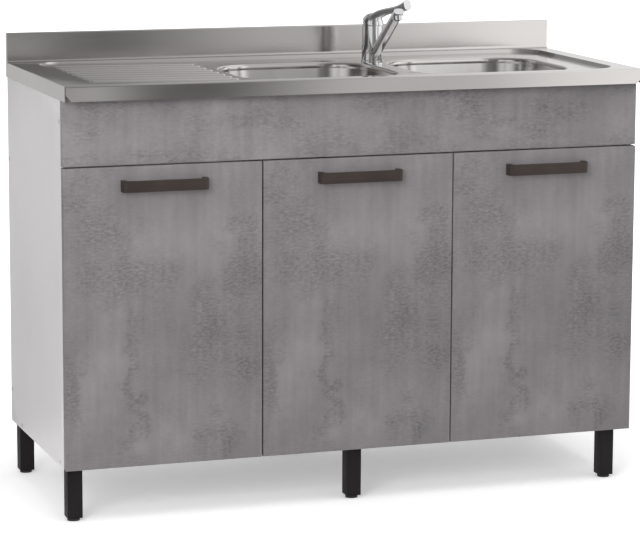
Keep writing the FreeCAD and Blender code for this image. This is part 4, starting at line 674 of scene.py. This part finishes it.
def soften_long_edges(piece, width):
    """Round the long square edges. Faces that lie in one plane are joined first."""
    bpy.ops.object.mode_set(mode="EDIT")
    bpy.ops.mesh.select_all(action="SELECT")
    bpy.ops.mesh.dissolve_limited(angle_limit=FLAT_TURN)
    bpy.ops.mesh.select_mode(type="EDGE")
    bpy.ops.mesh.select_all(action="DESELECT")
    shape = bmesh.from_edit_mesh(piece.data)
    count = 0
    for edge in shape.edges:
        square = len(edge.link_faces) == 2 and abs(edge.calc_face_angle(0.0)) > SQUARE_TURN
        if square and edge.calc_length() > LONG_EDGE:
            edge.select = True
            count += 1
    bmesh.update_edit_mesh(piece.data)
    bpy.ops.mesh.bevel(offset=width, segments=3, affect="EDGES", clamp_overlap=True)
    bpy.ops.object.mode_set(mode="OBJECT")
    return count


def dress(name, soft=0.0, turn=32.0):
    """Replace a node with its merged copy: soft edges if asked, smooth up to a turn in degrees."""
    piece = merged_copy(name)
    edges = soften_long_edges(piece, soft) if soft else 0
    bpy.ops.object.shade_smooth_by_angle(angle=math.radians(turn))
    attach(piece, body_of_node[name])
    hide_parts(name)
    piece.select_set(False)
    print(name, "softened edges:", edges, "faces:", len(piece.data.polygons))


# %% [markdown]
# ## Sink top, bowls and wastes
#
# The pressed top is the part that everybody looks at. Its ribs, its sloping recess and the drawn
# mouths of the bowls are in the frame already, so smooth shading is what it needs. The turn is
# kept small enough for the folds along the front and the upstand to stay crisp.

# %% Pressed steel
dress("sink_deck", turn=28.0)
for side in ("left", "right"):
    dress("bowl_" + side, turn=35.0)
    dress("strainer_flange_" + side, turn=30.0)
    dress("basket_plug_" + side, turn=30.0)

# %% [markdown]
# ## The tap
#
# A cast and polished body, a flat swivelling spout and a lever with a square end. Chrome shows
# every facet, so all of the tap is copied and smoothed.

# %% Chrome tap
for name in ("tap_body", "tap_spout", "tap_lever", "tap_aerator", "tap_stem"):
    dress(name, turn=30.0)

# %% [markdown]
# ## Boards and doors
#
# Chipboard boards have edge strips with a small round, about half a millimetre. The doors and the
# fixed board above them are the same kind of board with the printed film.

# %% Boards with softened edges
BOARD_ROUND = 0.0004
FRONT_ROUND = 0.0006

for name in ("side_panel_left", "side_panel_right", "bottom_panel", "partition_panel",
             "front_rail", "rear_rails", "shelf"):
    dress(name, soft=BOARD_ROUND)
for name in ("door_left", "door_middle", "door_right", "fascia_panel"):
    dress(name, soft=FRONT_ROUND)

# %% [markdown]
# ## Straps, legs and feet
#
# The handles are bent from flat strap and their edges are broken with a file. The legs are square
# tube, whose corners are round from the rolling.

# %% Straps, tubes and feet
STRAP_ROUND = 0.0009
TUBE_ROUND = 0.0012

for side in ("left", "middle", "right"):
    dress("handle_" + side, soft=STRAP_ROUND)
for row in ("front", "rear"):
    for side in ("left", "middle", "right"):
        dress("leg_" + row + "_" + side, soft=TUBE_ROUND)
        dress("foot_" + row + "_" + side, turn=35.0)

# %% [markdown]
# ## Pipes and hinges
#
# Under the bowls run the white waste pipes, and each door hangs on two cup hinges. They show when
# the doors are open and from behind, so they are smoothed as well.

# %% Pipes and hinges
for name in ("waste_body_left", "waste_body_right", "waste_manifold", "trap", "waste_gaskets",
             "hinge_arms", "tap_nut"):
    dress(name, turn=35.0)
for side in ("left", "middle", "right"):
    dress("hinge_cups_" + side, turn=35.0)
    dress("hinge_links_" + side, turn=35.0)

# %% [markdown]
# ## Screws that show
#
# Countersunk screws hold the carcass, and their heads show on the white sides. A real head has a
# cross recess for the driver. We take a merged copy of the screws and cut one cross into each head
# with a cutter made of two flat blocks. A dark cross drawn on the head would look painted.

# %% Cross recesses in the carcass screws
SCREW_PLACES = [(-0.196, 0.784), (-0.177, 0.115), (0.152, 0.115), (0.239, 0.658), (0.239, 0.174)]
CROSS_LENGTH = 0.0046
CROSS_WIDTH = 0.0009
CROSS_DEPTH = 0.0022

screws = merged_copy("panel_screws")
screw_low, screw_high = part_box("panel_screws")
blocks = []
for face_x in (screw_low.x, screw_high.x):
    for place_y, place_z in SCREW_PLACES:
        for long_y in (CROSS_LENGTH, CROSS_WIDTH):
            bpy.ops.mesh.primitive_cube_add(size=1.0, location=(face_x, place_y, place_z))
            block = bpy.context.object
            long_z = CROSS_LENGTH + CROSS_WIDTH - long_y
            block.scale = (CROSS_DEPTH * 2.0, long_y, long_z)
            blocks.append(block)
bpy.ops.object.select_all(action="DESELECT")
for block in blocks:
    block.select_set(True)
bpy.context.view_layer.objects.active = blocks[0]
bpy.ops.object.transform_apply(location=True, rotation=True, scale=True)
bpy.ops.object.join()
cutter = bpy.context.object
bpy.ops.object.select_all(action="DESELECT")
bpy.context.view_layer.objects.active = screws
screws.select_set(True)
cut = screws.modifiers.new("crosses", "BOOLEAN")
cut.object = cutter
cut.operation = "DIFFERENCE"
cut.use_self = True
bpy.ops.object.modifier_apply(modifier=cut.name)
bpy.ops.object.shade_smooth_by_angle(angle=math.radians(32.0))
bpy.data.objects.remove(cutter)
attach(screws, body_of_node["panel_screws"])
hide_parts("panel_screws")
screws.select_set(False)
print("screw faces:", len(screws.data.polygons))
